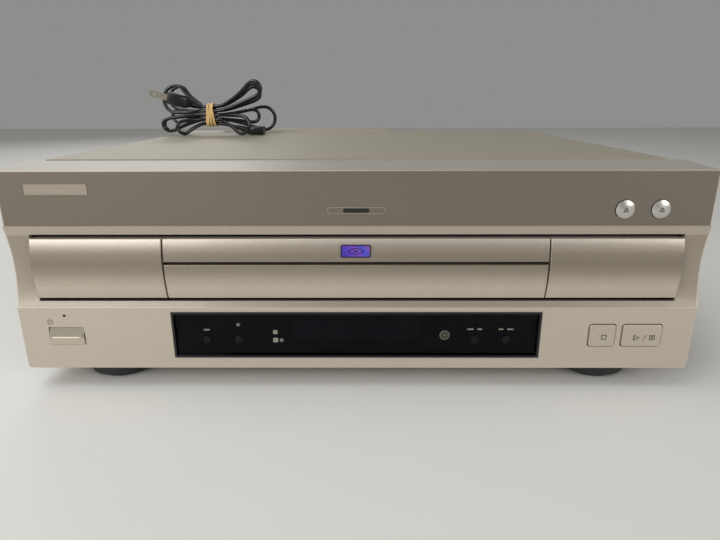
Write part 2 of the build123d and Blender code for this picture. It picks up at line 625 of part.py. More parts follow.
def ld_tray():
    """The large tray: decks with the 30 cm recess and their runners, channel for the small tray, and rack."""
    decks = block((-LD_DECK_HALF, LD_DECK_HALF), (DOOR_BACK_Y, LD_REAR_Y), (LD_DECK_Z, LD_RIM_Z))
    decks -= upright(0, SPINDLE_Y, LD_RADIUS + 1.2, (LD_FLOOR_Z, LD_RIM_Z + 1))
    decks -= upright(0, SPINDLE_Y, LD_RADIUS - 12, (LD_FLOOR_Z - 0.6, LD_RIM_Z))
    decks -= block((-CHANNEL_HALF, CHANNEL_HALF), (DOOR_BACK_Y - 1, LD_REAR_Y + 1), (LD_DECK_Z - 1, LD_RIM_Z + 1))
    wall_y = (DOOR_BACK_Y, DOOR_BACK_Y + 2.6)
    outer_wall = (BAND_HALF + DOOR_GAP, LD_DECK_HALF)
    channel = block((-CHANNEL_HALF - 2, CHANNEL_HALF + 2), (DOOR_BACK_Y, LD_REAR_Y), CHANNEL_FLOOR_Z)
    channel += block((-outer_wall[0], outer_wall[0]), wall_y, (64.0, CHANNEL_FLOOR_Z[1]))
    for side in (-1, 1):
        def lane(x, y, z):
            return block(sorted((side * x[0], side * x[1])), y, z)

        decks += lane((LD_DECK_HALF - 4, LD_DECK_HALF), (DOOR_BACK_Y, RUNNER_REAR_Y), (72.0, LD_DECK_Z + 0.5))
        decks += lane((LD_DECK_HALF, GUIDE_X[0] - 0.4), (-120.0, RUNNER_REAR_Y), TONGUE_Z)
        decks += lane(outer_wall, wall_y, (64.0, LD_RIM_Z))
        channel += lane((CHANNEL_HALF, CHANNEL_HALF + 2), (DOOR_BACK_Y, LD_REAR_Y), (CHANNEL_FLOOR_Z[0], LD_DECK_Z))
    rack = extrude(Pos(0, 0, GEAR_Z[0] - 1) * rack_outline(), amount=LD_DECK_Z - GEAR_Z[0] + 1)
    return {
        "ld_tray": decks,
        "tray_channel": channel - drive_slot((CHANNEL_FLOOR_Z[0] - 1, CHANNEL_FLOOR_Z[1] + 1)),
        "tray_rack": rack,
    }


def dvd_tray():
    """The small tray: plate with the 12 cm and 8 cm recesses."""
    plate = block((-DVD_PLATE_HALF, DVD_PLATE_HALF), (DVD_BACK_Y, DVD_REAR_Y), DVD_PLATE_Z)
    plate -= upright(0, SPINDLE_Y, DVD_RADIUS + 0.8, (DVD_PLATE_Z[1] - 2.0, DVD_PLATE_Z[1] + 1))
    plate -= upright(0, SPINDLE_Y, 41.0, (DVD_PLATE_Z[1] - 2.8, DVD_PLATE_Z[1]))
    return plate - drive_slot((70.0, LD_RIM_Z))


def tray_guides():
    """A grooved guide on each side, fixed to the chassis floor."""
    guides = []
    for side in (-1, 1):
        def lane(x, y, z):
            return block(sorted((side * x[0], side * x[1])), y, z)

        guide = lane(GUIDE_X, (-178.0, 180.0), (60.0, 84.0))
        guide += lane((LD_DECK_HALF + 1.2, GUIDE_X[0]), (-178.0, 180.0), (73.4, TONGUE_Z[0] - 0.4))
        guide += lane((LD_DECK_HALF + 1.2, GUIDE_X[0]), (-178.0, 180.0), (TONGUE_Z[1] + 0.4, 84.0))
        for y in (-146.0, -30.0, 60.0, 160.0):
            guide += lane(GUIDE_X, (y, y + 18.0), (FLOOR_Z, 60.0))
        guides.append(guide)
    return {"tray_guides": separate(guides)}


# ---------------------------------------------------------------- tray drive

def rack_outline():
    """Plan of a rack with straight-sided teeth towards +X, pitch line at the gear's pitch circle."""
    pitch = math.pi * GEAR_MODULE
    count = RACK_TEETH
    first_y = GEAR_XY[1] - 3.0 * pitch
    pitch_x = GEAR_XY[0] - GEAR_MODULE * GEAR_TEETH / 2 - 0.2
    root_x = pitch_x - 1.25 * GEAR_MODULE
    tip_x = pitch_x + 0.9 * GEAR_MODULE
    points = [(root_x - 4.0, first_y)]
    for tooth in range(count):
        middle = first_y + (tooth + 0.5) * pitch
        points += [
            (root_x, middle - 0.40 * pitch), (tip_x, middle - 0.13 * pitch),
            (tip_x, middle + 0.13 * pitch), (root_x, middle + 0.40 * pitch),
        ]
    last_y = first_y + count * pitch
    points.append((root_x - 4.0, last_y))
    return make_face(Polyline(*points, close=True))


def gear_outline(teeth):
    """Plan of a spur gear with one tooth towards -X."""
    pitch_radius = GEAR_MODULE * teeth / 2
    root, tip = pitch_radius - 1.3 * GEAR_MODULE, pitch_radius + 0.9 * GEAR_MODULE
    step = 2 * math.pi / teeth
    points = []
    for tooth in range(teeth):
        middle = math.pi + tooth * step
        for share, radius in ((-0.36, root), (-0.11, tip), (0.11, tip), (0.36, root)):
            angle = middle + share * step
            points.append((radius * math.cos(angle), radius * math.sin(angle)))
    return make_face(Polyline(*points, close=True))


def tray_drive():
    """Motor, belt, pulley and pinion that run the large tray in and out."""
    x, y = GEAR_XY
    gear = extrude(Pos(x, y, GEAR_Z[0]) * gear_outline(GEAR_TEETH), amount=GEAR_Z[1] - GEAR_Z[0])
    gear += upright(x, y, 6.0, (PULLEY_Z[1], GEAR_Z[0]))
    gear += upright(x, y, BIG_PULLEY_RADIUS, PULLEY_Z)
    gear -= pulley_groove(x, y, BIG_PULLEY_RADIUS)
    gear -= upright(x, y, 2.0 + RUNNING_GAP, (PULLEY_Z[0] - 1, GEAR_Z[1] + 1))
    bracket_z = (66.0, 68.0)
    bracket = block((x - 18, MOTOR_X + 16), (-168.0, -132.0), bracket_z)
    bracket += upright(x, y, 4.0, (bracket_z[1], PULLEY_Z[0] - 0.3))
    bracket += upright(x, y, 2.0, (bracket_z[1], GEAR_Z[1]))
    for leg_x in (x - 16, MOTOR_X + 11.5):
        bracket += block((leg_x, leg_x + 4.5), (-146.0, -134.0), (FLOOR_Z, bracket_z[0]))
    bracket += upright(MOTOR_X, y, 11.0, (36.0, bracket_z[0]))
    bracket -= upright(MOTOR_X, y, 1.0 + RUNNING_GAP, (50.0, bracket_z[1] + 1))
    small = upright(MOTOR_X, y, SMALL_PULLEY_RADIUS, PULLEY_Z) - pulley_groove(MOTOR_X, y, SMALL_PULLEY_RADIUS)
    small += upright(MOTOR_X, y, 1.0, (52.0, PULLEY_Z[0]))
    return {
        "loading_gear": gear,
        "loading_motor": bracket,
        "motor_pulley": small,
        "loading_belt": loading_belt(),
    }


def pulley_groove(x, y, radius):
    """The ring cut out of a pulley's rim for the belt."""
    z = (PULLEY_Z[0] + 1.0, PULLEY_Z[1] - 1.0)
    return upright(x, y, radius + 1, z) - upright(x, y, radius - 1.6, z)


def loading_belt():
    """The belt round both pulleys: two arcs and their outer tangents."""
    (x, y), gap = GEAR_XY, 0.35
    big, small = BIG_PULLEY_RADIUS - 1.6 + gap, SMALL_PULLEY_RADIUS - 1.6 + gap
    thickness = 1.2
    span = MOTOR_X - x

    def round_both(extra):
        first, second = big + extra, small + extra
        lean = math.asin((first - second) / span)
        up = (math.sin(lean), math.cos(lean))
        a = (x + first * up[0], y + first * up[1])
        b = (MOTOR_X + second * up[0], y + second * up[1])
        c = (MOTOR_X + second * up[0], y - second * up[1])
        d = (x + first * up[0], y - first * up[1])
        loop = Line(a, b) + ThreePointArc(b, (MOTOR_X + second, y), c)
        loop += Line(c, d) + ThreePointArc(d, (x - first, y), a)
        return make_face(loop)

    face = round_both(thickness) - round_both(0.0)
    return extrude(Pos(0, 0, PULLEY_Z[0] + 1.5) * face, amount=1.5)


# ---------------------------------------------------------------- disc drive

def drive_base():
    """The lifting base: plate, bushes on four posts, rail holders and the lifting pin's lug."""
    base = block((-BASE_HALF, BASE_HALF), BASE_Y, BASE_Z)
    base -= block((-16, 16), (42.0, 155.0), (BASE_Z[0] - 1, BASE_Z[1] + 1))
    for x, y in POST_PLACES:
        base += upright(x, y, 5.0, (BASE_Z[0], 56.0))
        base -= upright(x, y, POST_RADIUS + RUNNING_GAP, (BASE_Z[0] - 1, 57.0))
    for side in (-1, 1):
        x = (side * RAIL_X - 3.5, side * RAIL_X + 3.5)
        base += block(x, (-5.0, -0.5), (BASE_Z[1], RAIL_Z + 4))
        base += block(x, (160.5, 165.0), (BASE_Z[1], RAIL_Z + 4))
    base -= upright(0, SPINDLE_Y, 17.2, (BASE_Z[1], 80.0))
    base += block((SCREW_XZ[0] - 4, SCREW_XZ[0] + 4), (160.5, 165.0), (BASE_Z[1], SCREW_XZ[1] + 4))
    base -= rod(*SCREW_XZ, 1.5 + RUNNING_GAP, (159.0, 163.5))
    y, z = CAM_PIN
    base += block((50.0, BASE_HALF), (y - 5, y + 5), (z - 4, z + 4))
    base += axle(y, z, 2.0, (BASE_HALF, CAM_X[1] + 1.0))
    return base


def spindle():
    """Spindle and feed motors, and the turntable with its steps for large and small discs."""
    motor = upright(0, SPINDLE_Y, 17.0, (BASE_Z[1], 71.5))
    motor -= upright(0, SPINDLE_Y, 1.5 + RUNNING_GAP, (58.0, 72.0))
    turntable = upright(0, SPINDLE_Y, 1.5, (59.0, 73.0))
    turntable += upright(0, SPINDLE_Y, 9.0, (72.5, 76.0))
    turntable += upright(0, SPINDLE_Y, 20.5, (76.0, 78.5))
    turntable += upright(0, SPINDLE_Y, 17.3, (78.5, 80.2))
    hub = upright(0, SPINDLE_Y, 7.4, (80.2, 84.0))
    turntable += chamfer(hub.edges().group_by(Axis.Z)[-1], 1.6)
    x, z = SCREW_XZ
    feed_motor = rod(x, z, 8.0, (-30.0, -3.0)) - rod(x, z, 1.5 + RUNNING_GAP, (-12.0, -2.0))
    return {"drive_motors": separate((motor, feed_motor)), "turntable": turntable}


def pickup():
    """Carriage on its rails, with the lens and its holder."""
    y0, y1 = CARRIAGE_Y
    carriage = block((-28.0, 28.0), (y0, y1), (54.0, 70.0))
    carriage -= block((-15.0, 15.0), (y0 - 1, y0 + 20), (60.0, 71.0))
    for side in (-1, 1):
        carriage -= rod(side * RAIL_X, RAIL_Z, RAIL_RADIUS + RUNNING_GAP, (y0 - 1, y1 + 1))
    nut = block((28.0, 41.0), (y0 + 10, y0 + 18), (51.0, 61.0))
    nut -= rod(*SCREW_XZ, 2.5 + 0.35, (y0, y1))
    carriage += nut
    lens_y = y0 + 5.0
    holder = block((-9.0, 9.0), (y0 + 0.6, y0 + 16.0), (66.5, 71.5))
    holder += upright(0, lens_y, 4.2, (71.5, 74.0))
    for side in (-1, 1):
        wire_x = sorted((side * 9.0, side * 14.6))
        holder += block(wire_x, (y0 + 12.0, y0 + 13.0), (68.5, 69.5))
    return {"pickup_carriage": carriage, "lens_holder": holder}


def feed():
    """Rails and the lead screw."""
    rails = separate(rod(side * RAIL_X, RAIL_Z, RAIL_RADIUS, (-0.5, 160.5)) for side in (-1, 1))
    x, z = SCREW_XZ
    screw = rod(x, z, 1.5, (-11.0, 163.0)) + rod(x, z, 2.5, (-1.0, 158.0))
    for turn in range(50):
        y = 1.0 + turn * 3.0
        screw -= rod(x, z, 4.0, (y, y + 0.9)) - rod(x, z, 2.0, (y, y + 0.9))
    return {"guide_rails": rails, "feed_screw": screw}


def lift():
    """Guide posts, the cam plate with its sloped slot, and the cam's rail."""
    posts = [upright(x, y, POST_RADIUS, (FLOOR_Z, 72.0)) for x, y in POST_PLACES]
    y, z = CAM_PIN
    cam = block(CAM_X, (y - 12.0, y + CAM_RUN + 12.0), (30.6, z + LIFT + 9))
    slope = math.degrees(math.atan2(LIFT, CAM_RUN))
    length = math.hypot(LIFT, CAM_RUN)
    slot = Pos(y + CAM_RUN / 2, z + LIFT / 2) * Rot(0, 0, slope) * SlotCenterToCenter(length, 4.7)
    cam -= across(slot, (CAM_X[0] - 1, CAM_X[1] + 1))
    rail = block((CAM_X[0] - 3, CAM_X[1] + 3), (y - 40.0, y + CAM_RUN + 16.0), (FLOOR_Z, 37.0))
    rail -= block((CAM_X[0] - 0.3, CAM_X[1] + 0.3), (y - 41.0, y + CAM_RUN + 17.0), (30.3, 38.0))
    return {"lift_posts": separate(posts + [rail]), "lift_cam": cam}


# ---------------------------------------------------------------- clamp

def clamp():
    """Bridge over the trays, clamp arm on its pin and the clamper that the arm carries."""
    leg_x = (GUIDE_X[1] + 0.3, GUIDE_X[1] + 1.8)
    bridge = block((-leg_x[1], leg_x[1]), BRIDGE_Y, BRIDGE_Z)
    for side in (-1, 1):
        x = sorted((side * leg_x[0], side * leg_x[1]))
        bridge += block(x, BRIDGE_Y, (FLOOR_Z, BRIDGE_Z[0]))
        lug = sorted((side * 33.0, side * 36.0))
        bridge += block(lug, (ARM_PIVOT[0] - 6, ARM_PIVOT[0] + 6), (ARM_PIVOT[1] - 5, BRIDGE_Z[0]))
    bridge -= block((-60, 60), (58.0, 66.0), (BRIDGE_Z[0] - 1, BRIDGE_Z[1] + 1))
    bridge += axle(*ARM_PIVOT, 2.0, (-36.0, 36.0))
    outline = make_face(Polyline(
        (-30.0, 84.0), (30.0, 84.0), (30.0, 60.0), (16.0, 0.0), (-16.0, 0.0), (-30.0, 60.0), close=True
    ))
    arm = extrude(Pos(0, 0, ARM_Z[0]) * outline, amount=ARM_Z[1] - ARM_Z[0])
    arm += upright(0, SPINDLE_Y, ARM_TIP_RADIUS, ARM_Z)
    arm -= upright(0, SPINDLE_Y, 15.0, (ARM_Z[0] - 1, ARM_Z[1] + 1))
    for side in (-1, 1):
        lug = sorted((side * 27.0, side * 30.0))
        arm += block(lug, (ARM_PIVOT[0] - 5, ARM_PIVOT[0] + 5), (ARM_Z[0], ARM_PIVOT[1] + 4))
    arm -= axle(*ARM_PIVOT, 2.0 + RUNNING_GAP, (-40.0, 40.0))
    clamper = upright(0, SPINDLE_Y, 22.0, (97.0, 101.5))
    clamper += upright(0, SPINDLE_Y, 12.0, (101.5, 109.0))
    clamper += upright(0, SPINDLE_Y, 18.0, (ARM_Z[1] + 0.4, 110.0))
    clamper -= upright(0, SPINDLE_Y, 8.2, (96.0, 103.0))
    return {"clamp_bridge": bridge, "clamp_arm": arm, "clamper": clamper}


# ---------------------------------------------------------------- electronics

def electronics():
    """Boards, transformer, capacitors, heat sink, fuse and flat cables."""
    board_z = (FLOOR_Z + 6.0, FLOOR_Z + 7.6)
    power = block((-180.0, -70.0), (-40.0, 80.0), board_z) + standoffs((-176.0, -74.0), (-36.0, 76.0), board_z[0])
    main = block((70.0, 182.0), (-130.0, 150.0), board_z) + standoffs((74.0, 178.0), (-126.0, 146.0), board_z[0])
    top = board_z[1]
    caps = [
        upright(x, y, radius, (top, top + height))
        for x, y, radius, height in (
            (-165.0, 0.0, 9.0, 34.0), (-142.0, 0.0, 9.0, 34.0), (-165.0, -24.0, 6.0, 22.0),
            (-148.0, -24.0, 6.0, 22.0), (-131.0, -24.0, 5.0, 18.0), (-118.0, 2.0, 6.0, 20.0),
        )
    ]
    sink = block((-98.0, -94.0), (-34.0, 40.0), (top, 62.0))
    for step in range(8):
        y = -34.0 + step * 10.0
        sink += block((-112.0, -98.0), (y, y + 3.0), (top + 4, 62.0))
    transformer = block((-176.0, -106.0), (96.0, 158.0), (FLOOR_Z, 66.0))
    for x in ((-177.0, -158.0), (-124.0, -105.0)):
        inward = (x[0] + 3.5, x[1]) if x[0] < -150 else (x[0], x[1] - 3.5)
        transformer -= block(x, (110.0, 144.0), (FLOOR_Z + 12, 54.0))
        transformer += block(inward, (112.0, 142.0), (FLOOR_Z + 13, 53.0))
    fuse = block((-172.0, -146.0), (46.0, 54.0), (top, top + 4)) + axle(50.0, top + 6.0, 2.5, (-171.0, -147.0))
    chips = [
        block((x, x + w), (y, y + d), (top, top + 2.0))
        for x, y, w, d in (
            (84.0, -100.0, 28.0, 28.0), (130.0, -96.0, 20.0, 20.0), (90.0, -40.0, 22.0, 22.0),
            (132.0, -50.0, 28.0, 14.0), (96.0, 20.0, 34.0, 34.0), (146.0, 10.0, 14.0, 26.0),
            (92.0, 90.0, 24.0, 16.0), (140.0, 84.0, 22.0, 22.0),
        )
    ]
    av = block((-12.0, 172.0), AV_BOARD_Y, (30.0, 88.0))
    av += block((-8.0, -2.0), (168.0, AV_BOARD_Y[0]), (FLOOR_Z, 40.0))
    av += block((160.0, 166.0), (168.0, AV_BOARD_Y[0]), (FLOOR_Z, 40.0))
    ribbon = make_face(Polyline(
        (FRONT_BOARD_Y[1], 52.0), (-140.0, 52.0), (-112.0, top), (-111.0, top),
        (-139.4, 52.6), (FRONT_BOARD_Y[1], 52.6), close=True,
    ))
    av_ribbon = block((100.0, 118.0), (146.0, AV_BOARD_Y[0]), (34.0, 34.6))
    av_ribbon += block((100.0, 118.0), (146.0, 146.6), (top, 34.0))
    return {
        "circuit_boards": separate((power, main, av)),
        "board_parts": separate(caps + chips + [fuse]),
        "heat_sink": sink,
        "transformer": transformer,
        "flat_cables": separate((across(ribbon, (120.0, 140.0)), av_ribbon)),
    }


def standoffs(xs, ys, top_z):
    """Four pillars that carry a board off the chassis floor."""
    return [upright(x, y, 2.5, (FLOOR_Z, top_z)) for x in xs for y in ys]


# ---------------------------------------------------------------- mains lead

class Loop:
    """One loop of the hank, from one strand of the waist round to the next."""

    def __init__(self, side, start, end, reach, rise, radius, fan):
        self.side = side        # +1 to the right of the waist, -1 to the left
        self.start = start      # row and column of the strand that comes in
        self.end = end          # row and column of the strand that goes back
        self.reach = reach      # from the waist to the middle of the rounded tip
        self.rise = rise        # how far that middle lies above the strands
        self.radius = radius    # half the width of the tip
        self.fan = fan          # how far the tip leans to the rear


PLUG_STRAND, CONNECTOR_STRAND = (3, 0), (-1, 1)
LOOPS = [
    Loop(1, (3, 0), (2, 0), 38.0, 20.0, 7.5, -8.0),
    Loop(-1, (2, 0), (3, 1), 27.5, 9.0, 14.5, 6.0),
    Loop(1, (3, 1), (2, 1), 36.0, 18.0, 7.0, -2.0),
    Loop(-1, (2, 1), (3, 2), 27.0, 10.5, 12.0, 12.0),
    Loop(1, (3, 2), (2, 2), 34.0, 15.0, 7.0, 5.0),
    Loop(-1, (2, 2), (1, 2), 34.0, -4.0, 6.5, 18.0),
    Loop(1, (1, 2), (0, 2), 41.0, -2.0, 12.5, 20.0),
    Loop(-1, (0, 2), (1, 1), 38.0, -8.0, 6.5, 3.0),
    Loop(1, (1, 1), (0, 1), 33.0, 1.0, 6.5, 5.0),
    Loop(-1, (0, 1), (1, 0), 35.0, -7.5, 6.5, -6.0),
    Loop(1, (1, 0), (0, 0), 25.0, -7.0, 9.0, -19.0),
    Loop(-1, (0, 0), (-1, 1), 18.0, -5.6, 6.5, -13.0),
]


def strand(place, side):
    """Where a strand leaves the waist on one side."""
    row, column = place
    x = WAIST_X + side * WAIST_HALF
    return (x, WAIST_Y + (column - 1) * COLUMN_STEP, ROW_ZERO_Z + row * ROW_STEP)


def loop_points(loop):
    """The corners of one loop's path: out along a leg, round the tip and back."""
    first, last = strand(loop.start, loop.side), strand(loop.end, loop.side)
    middle_z = (first[2] + last[2]) / 2
    above = 1.0 if first[2] > last[2] else -1.0
    lean = math.degrees(math.atan2(LEG_BEND * loop.rise, loop.reach))
    corner = loop.radius / math.cos(math.radians(TIP_TURN / 2))
    half = ROW_STEP / 2

    def leg(share, edge):
        width = half + (loop.radius - half) * share ** LEG_SPREAD
        return (loop.reach * share, loop.rise * share ** LEG_BEND + edge * width)

    flat = [leg(share, above) for share in LEG_SHARES]
    for turns in (1.5, 0.5, -0.5, -1.5):
        angle = math.radians(lean + above * turns * TIP_TURN)
        flat.append((loop.reach + corner * math.cos(angle), loop.rise + corner * math.sin(angle)))
    flat += [leg(share, -above) for share in reversed(LEG_SHARES)]
    points = []
    for index, (out, up) in enumerate(flat):
        along = (index + 1) / (len(flat) + 1)
        y = first[1] + (last[1] - first[1]) * along + loop.fan * math.sin(math.pi * along)
        points.append((first[0] + loop.side * out, y, middle_z + up))
    return points


def cord_route():
    """Every corner of the lead, from the plug through the loops to the connector."""
    points = [strand(PLUG_STRAND, -1)]
    for loop in LOOPS:
        points.append(strand(loop.start, loop.side))
        points += loop_points(loop)
        points.append(strand(loop.end, loop.side))
    points += [strand(CONNECTOR_STRAND, 1), CONNECTOR_END]
    return points


def cord_radii(points):
    """A radius for each corner: as large as the two runs beside it allow."""
    radii = []
    for before, here, after in zip(points, points[1:], points[2:]):
        first, second = Vector(*here) - Vector(*before), Vector(*after) - Vector(*here)
        turn = math.radians(first.get_angle(second))
        radii.append(FILLET_SHARE * min(first.length, second.length) / math.tan(turn / 2))
    return radii


def least_gap(path, step=1.5, skip=8):
    """The least gap between stretches of the lead that aren't neighbours."""
    count = int(path.length / step)
    places = [path.position_at(index / count) for index in range(count + 1)]
    least = path.length
    for index, place in enumerate(places):
        for other in places[index + skip:]:
            least = min(least, (place - other).length)
    return least - CORD_DIAMETER


def cord_hank():
    """The lead as one unbroken tube of straight runs and tangent arcs."""
    points = cord_route()
    radii = cord_radii(points)
    path = FilletPolyline(*points, radius=radii)
    start = Plane(origin=path @ 0, z_dir=path % 0)
    tube = sweep(start * Circle(CORD_DIAMETER / 2), path=path.wire())
    section = math.pi * CORD_DIAMETER ** 2 / 4
    print(f"lead length {path.length:.0f} mm, least radius {min(radii):.1f} mm")
    print(f"least gap to itself {least_gap(path):.2f} mm, volume ratio {tube.volume / (section * path.length):.4f}")
    return tube


def moulding(stations):
    """A moulded body through rounded sections, each a centre, a direction, a width, a height and a corner."""
    faces = []
    for centre, direction, width, height, corner in stations:
        side = Vector(0, 0, 1).cross(direction).normalized()
        plane = Plane(origin=centre, x_dir=side, z_dir=direction)
        faces.append(plane * RectangleRounded(width, height, corner))
    return loft(faces, ruled=True)


def mains_plug():
    """Moulded two-blade plug with a tapered relief, lying inside the large loops."""
    neck, face = Vector(*PLUG_NECK), Vector(*PLUG_FACE)
    axis = (face - neck).normalized()
    plug = moulding([
        (strand(PLUG_STRAND, -1), Vector(-1, 0, 0), 4.4, 4.4, 2.0),
        (neck, axis, 9.0, 8.0, 2.6),
    ])
    plug += moulding([
        (neck, axis, 13.0, 10.0, 3.0),
        (neck + axis * 6, axis, *PLUG_SIZE, 3.5),
        (face, axis, *PLUG_SIZE, 3.5),
    ])
    side = Vector(0, 0, 1).cross(axis).normalized()
    for offset_side in (-BLADE_SPACING / 2, BLADE_SPACING / 2):
        root = Plane(origin=face + side * offset_side - axis * 0.5, x_dir=side, z_dir=axis)
        plug += extrude(root * Rectangle(*BLADE_SIZE), amount=BLADE_LENGTH + 0.5)
    return plug


def cord_connector():
    """Figure-of-eight connector with its relief, lying on the cover."""
    start, neck, face = Vector(*CONNECTOR_END), Vector(*CONNECTOR_NECK), Vector(*CONNECTOR_FACE)
    arrival = (start - Vector(*strand(CONNECTOR_STRAND, 1))).normalized()
    axis = (face - neck).normalized()
    connector = moulding([(start, arrival, 4.4, 4.4, 2.0), (neck, axis, 8.0, 6.4, 2.4)])
    connector += moulding([(neck, axis, *CONNECTOR_SIZE, 3.4), (face, axis, *CONNECTOR_SIZE, 3.4)])
    side = Vector(0, 0, 1).cross(axis).normalized()
    for offset_side in (-PIN_SPACING / 2, PIN_SPACING / 2):
        mouth = Plane(origin=face + side * offset_side, x_dir=side, z_dir=axis)
        connector -= extrude(mouth * Circle(1.3), amount=-9.0)
    return connector


def rubber_band():
    """Three wraps of a rubber band round the waist of the hank."""
    depth = 2 * COLUMN_STEP + CORD_DIAMETER + 0.8
    height = 4 * ROW_STEP + CORD_DIAMETER + 0.8
    middle_z = ROW_ZERO_Z + ROW_STEP
    wraps = []
    for shift, lean in ((-3.6, 5.0), (0.2, -3.0), (4.0, -7.0)):
        ring = RectangleRounded(depth + 2.4, height + 2.4, 4.0) - RectangleRounded(depth, height, 2.8)
        band = extrude(Plane.YZ * ring, amount=BAND_WIDTH / 2, both=True)
        wraps.append(Pos(WAIST_X + shift, WAIST_Y, middle_z) * Rot(0, lean, 0) * band)
    return separate(wraps)


def mains_lead():
    """The tied lead that lies on the cover."""
    return {
        "cord_hank": cord_hank(),
        "mains_plug": mains_plug(),
        "cord_connector": cord_connector(),
        "rubber_band": rubber_band(),
    }


def save(nodes):
    """Write each node to its own STEP file."""
    os.makedirs("parts", exist_ok=True)
    for name, shape in nodes.items():
        export_step(shape, f"parts/{name}.step")


def build():
    """Every node of the player."""
    nodes = {
        "front_panel": front_panel(),
        "top_cover": top_cover(),
        "bottom_chassis": bottom_chassis(),
        "rear_panel": rear_panel(),
        "case_screws": case_screws(),
        "dvd_tray": dvd_tray(),
        "drive_base": drive_base(),
    }
    for assembly in (
        rear_sockets, feet, display, controls, fascia_trim, doors, ld_tray, tray_guides, tray_drive,
        spindle, pickup, feed, lift, clamp, electronics, mains_lead,
    ):
        nodes.update(assembly())
    return nodes


save(build())
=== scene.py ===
import logging
import math
from dataclasses import dataclass
from enum import Enum
from typing import Any, Iterable, Sequence

import bmesh
import bpy
from mathutils import Matrix, Vector


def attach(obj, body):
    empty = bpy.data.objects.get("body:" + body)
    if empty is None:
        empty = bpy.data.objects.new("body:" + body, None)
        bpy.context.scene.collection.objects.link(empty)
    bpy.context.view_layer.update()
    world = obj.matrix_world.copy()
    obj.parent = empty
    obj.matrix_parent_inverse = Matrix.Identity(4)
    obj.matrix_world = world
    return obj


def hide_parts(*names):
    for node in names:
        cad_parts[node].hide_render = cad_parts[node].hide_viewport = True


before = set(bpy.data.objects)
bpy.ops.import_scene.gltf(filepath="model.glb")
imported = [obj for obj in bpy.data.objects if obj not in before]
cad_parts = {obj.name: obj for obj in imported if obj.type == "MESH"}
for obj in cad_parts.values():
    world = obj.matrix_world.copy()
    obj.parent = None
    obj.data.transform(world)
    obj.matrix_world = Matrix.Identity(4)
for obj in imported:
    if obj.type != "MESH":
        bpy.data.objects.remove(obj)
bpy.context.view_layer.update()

LOG = logging.getLogger("disc_player")
MM = 0.001
RIGHT, BACK, UP = Vector((1, 0, 0)), Vector((0, 1, 0)), Vector((0, 0, 1))

Colour = tuple[float, float, float, float]
Place = tuple[float, float, float]
Box = tuple[float, float, float]      # width, height and corner of a rounded shape
Stops = tuple[tuple[float, str], ...]
Outline = list[tuple[float, float]]
Ring = list[Vector]
Shape = bmesh.types.BMesh
Socket = bpy.types.NodeSocket
Mesh = bpy.types.Mesh
Piece = bpy.types.Object


# ---------------------------------------------------------------- colour and nodes

def linear(code: str, gain: float = 1.0) -> Colour:
    """Turn an sRGB hex code into a linear colour.

    Args:
        code: Colour such as "#a09c8c".
        gain: Factor on all three channels, for a lighter or darker tone.

    Returns:
        Linear red, green, blue and an alpha of 1.
    """
    channels = [int(code[place:place + 2], 16) / 255 for place in (1, 3, 5)]
    straight = [c / 12.92 if c <= 0.04045 else ((c + 0.055) / 1.055) ** 2.4 for c in channels]
    return tuple(min(1.0, c * gain) for c in straight) + (1.0,)


@dataclass
class Surface:
    """A material's nodes, as its finish draws on them."""

    tree: bpy.types.NodeTree
    shader: bpy.types.Node

    def add(self, kind: str, inputs: dict[str | int, Any], **settings: Any) -> bpy.types.Node:
        """Add a node with its settings, and set or link its inputs.

        Args:
            kind: The node's type, without the word that all types start with.
            inputs: Names or numbers of inputs, each with its value or the output to link.
            settings: The node's own settings.

        Returns:
            The new node.
        """
        node = self.tree.nodes.new("ShaderNode" + kind)
        for name, value in settings.items():
            setattr(node, name, value)
        for name, value in inputs.items():
            if isinstance(value, Socket):
                self.tree.links.new(value, node.inputs[name])
            else:
                node.inputs[name].default_value = value
        return node

    def texture(self, kind: str, size_mm: float, detail: float | None = None, **settings: Any) -> bpy.types.Node:
        """Add a texture that lies on the object, as fine as size_mm says.

        Args:
            kind: The texture's type.
            size_mm: Size of one of its cells.
            detail: How many finer layers it has, for a texture with layers.
            settings: The node's own settings.

        Returns:
            The new node.
        """
        layers = {} if detail is None else {"Detail": detail}
        return self.add("Tex" + kind, {"Vector": self.place, "Scale": 1 / (size_mm * MM)} | layers, **settings)

    @property
    def place(self) -> Socket:
        """The point on the object, in metres."""
        return self.add("TexCoord", {}).outputs["Object"]

    def give(self, name: str, value: Socket) -> None:
        """Link an output to one of the shader's inputs."""
        self.tree.links.new(value, self.shader.inputs[name])

    def relief(self, height: Socket, depth_mm: float) -> None:
        """Let a height pattern of the given depth turn the light."""
        bump = self.add("Bump", {"Height": height, "Distance": depth_mm * MM, "Strength": 1.0})
        self.give("Normal", bump.outputs["Normal"])

    def gloss(self, pattern: Socket, low: float, high: float) -> None:
        """Let the roughness follow a pattern, from a low value to a high one."""
        follow = self.add("MapRange", {"Value": pattern, "To Min": low, "To Max": high})
        self.give("Roughness", follow.outputs["Result"])


# ---------------------------------------------------------------- finishes

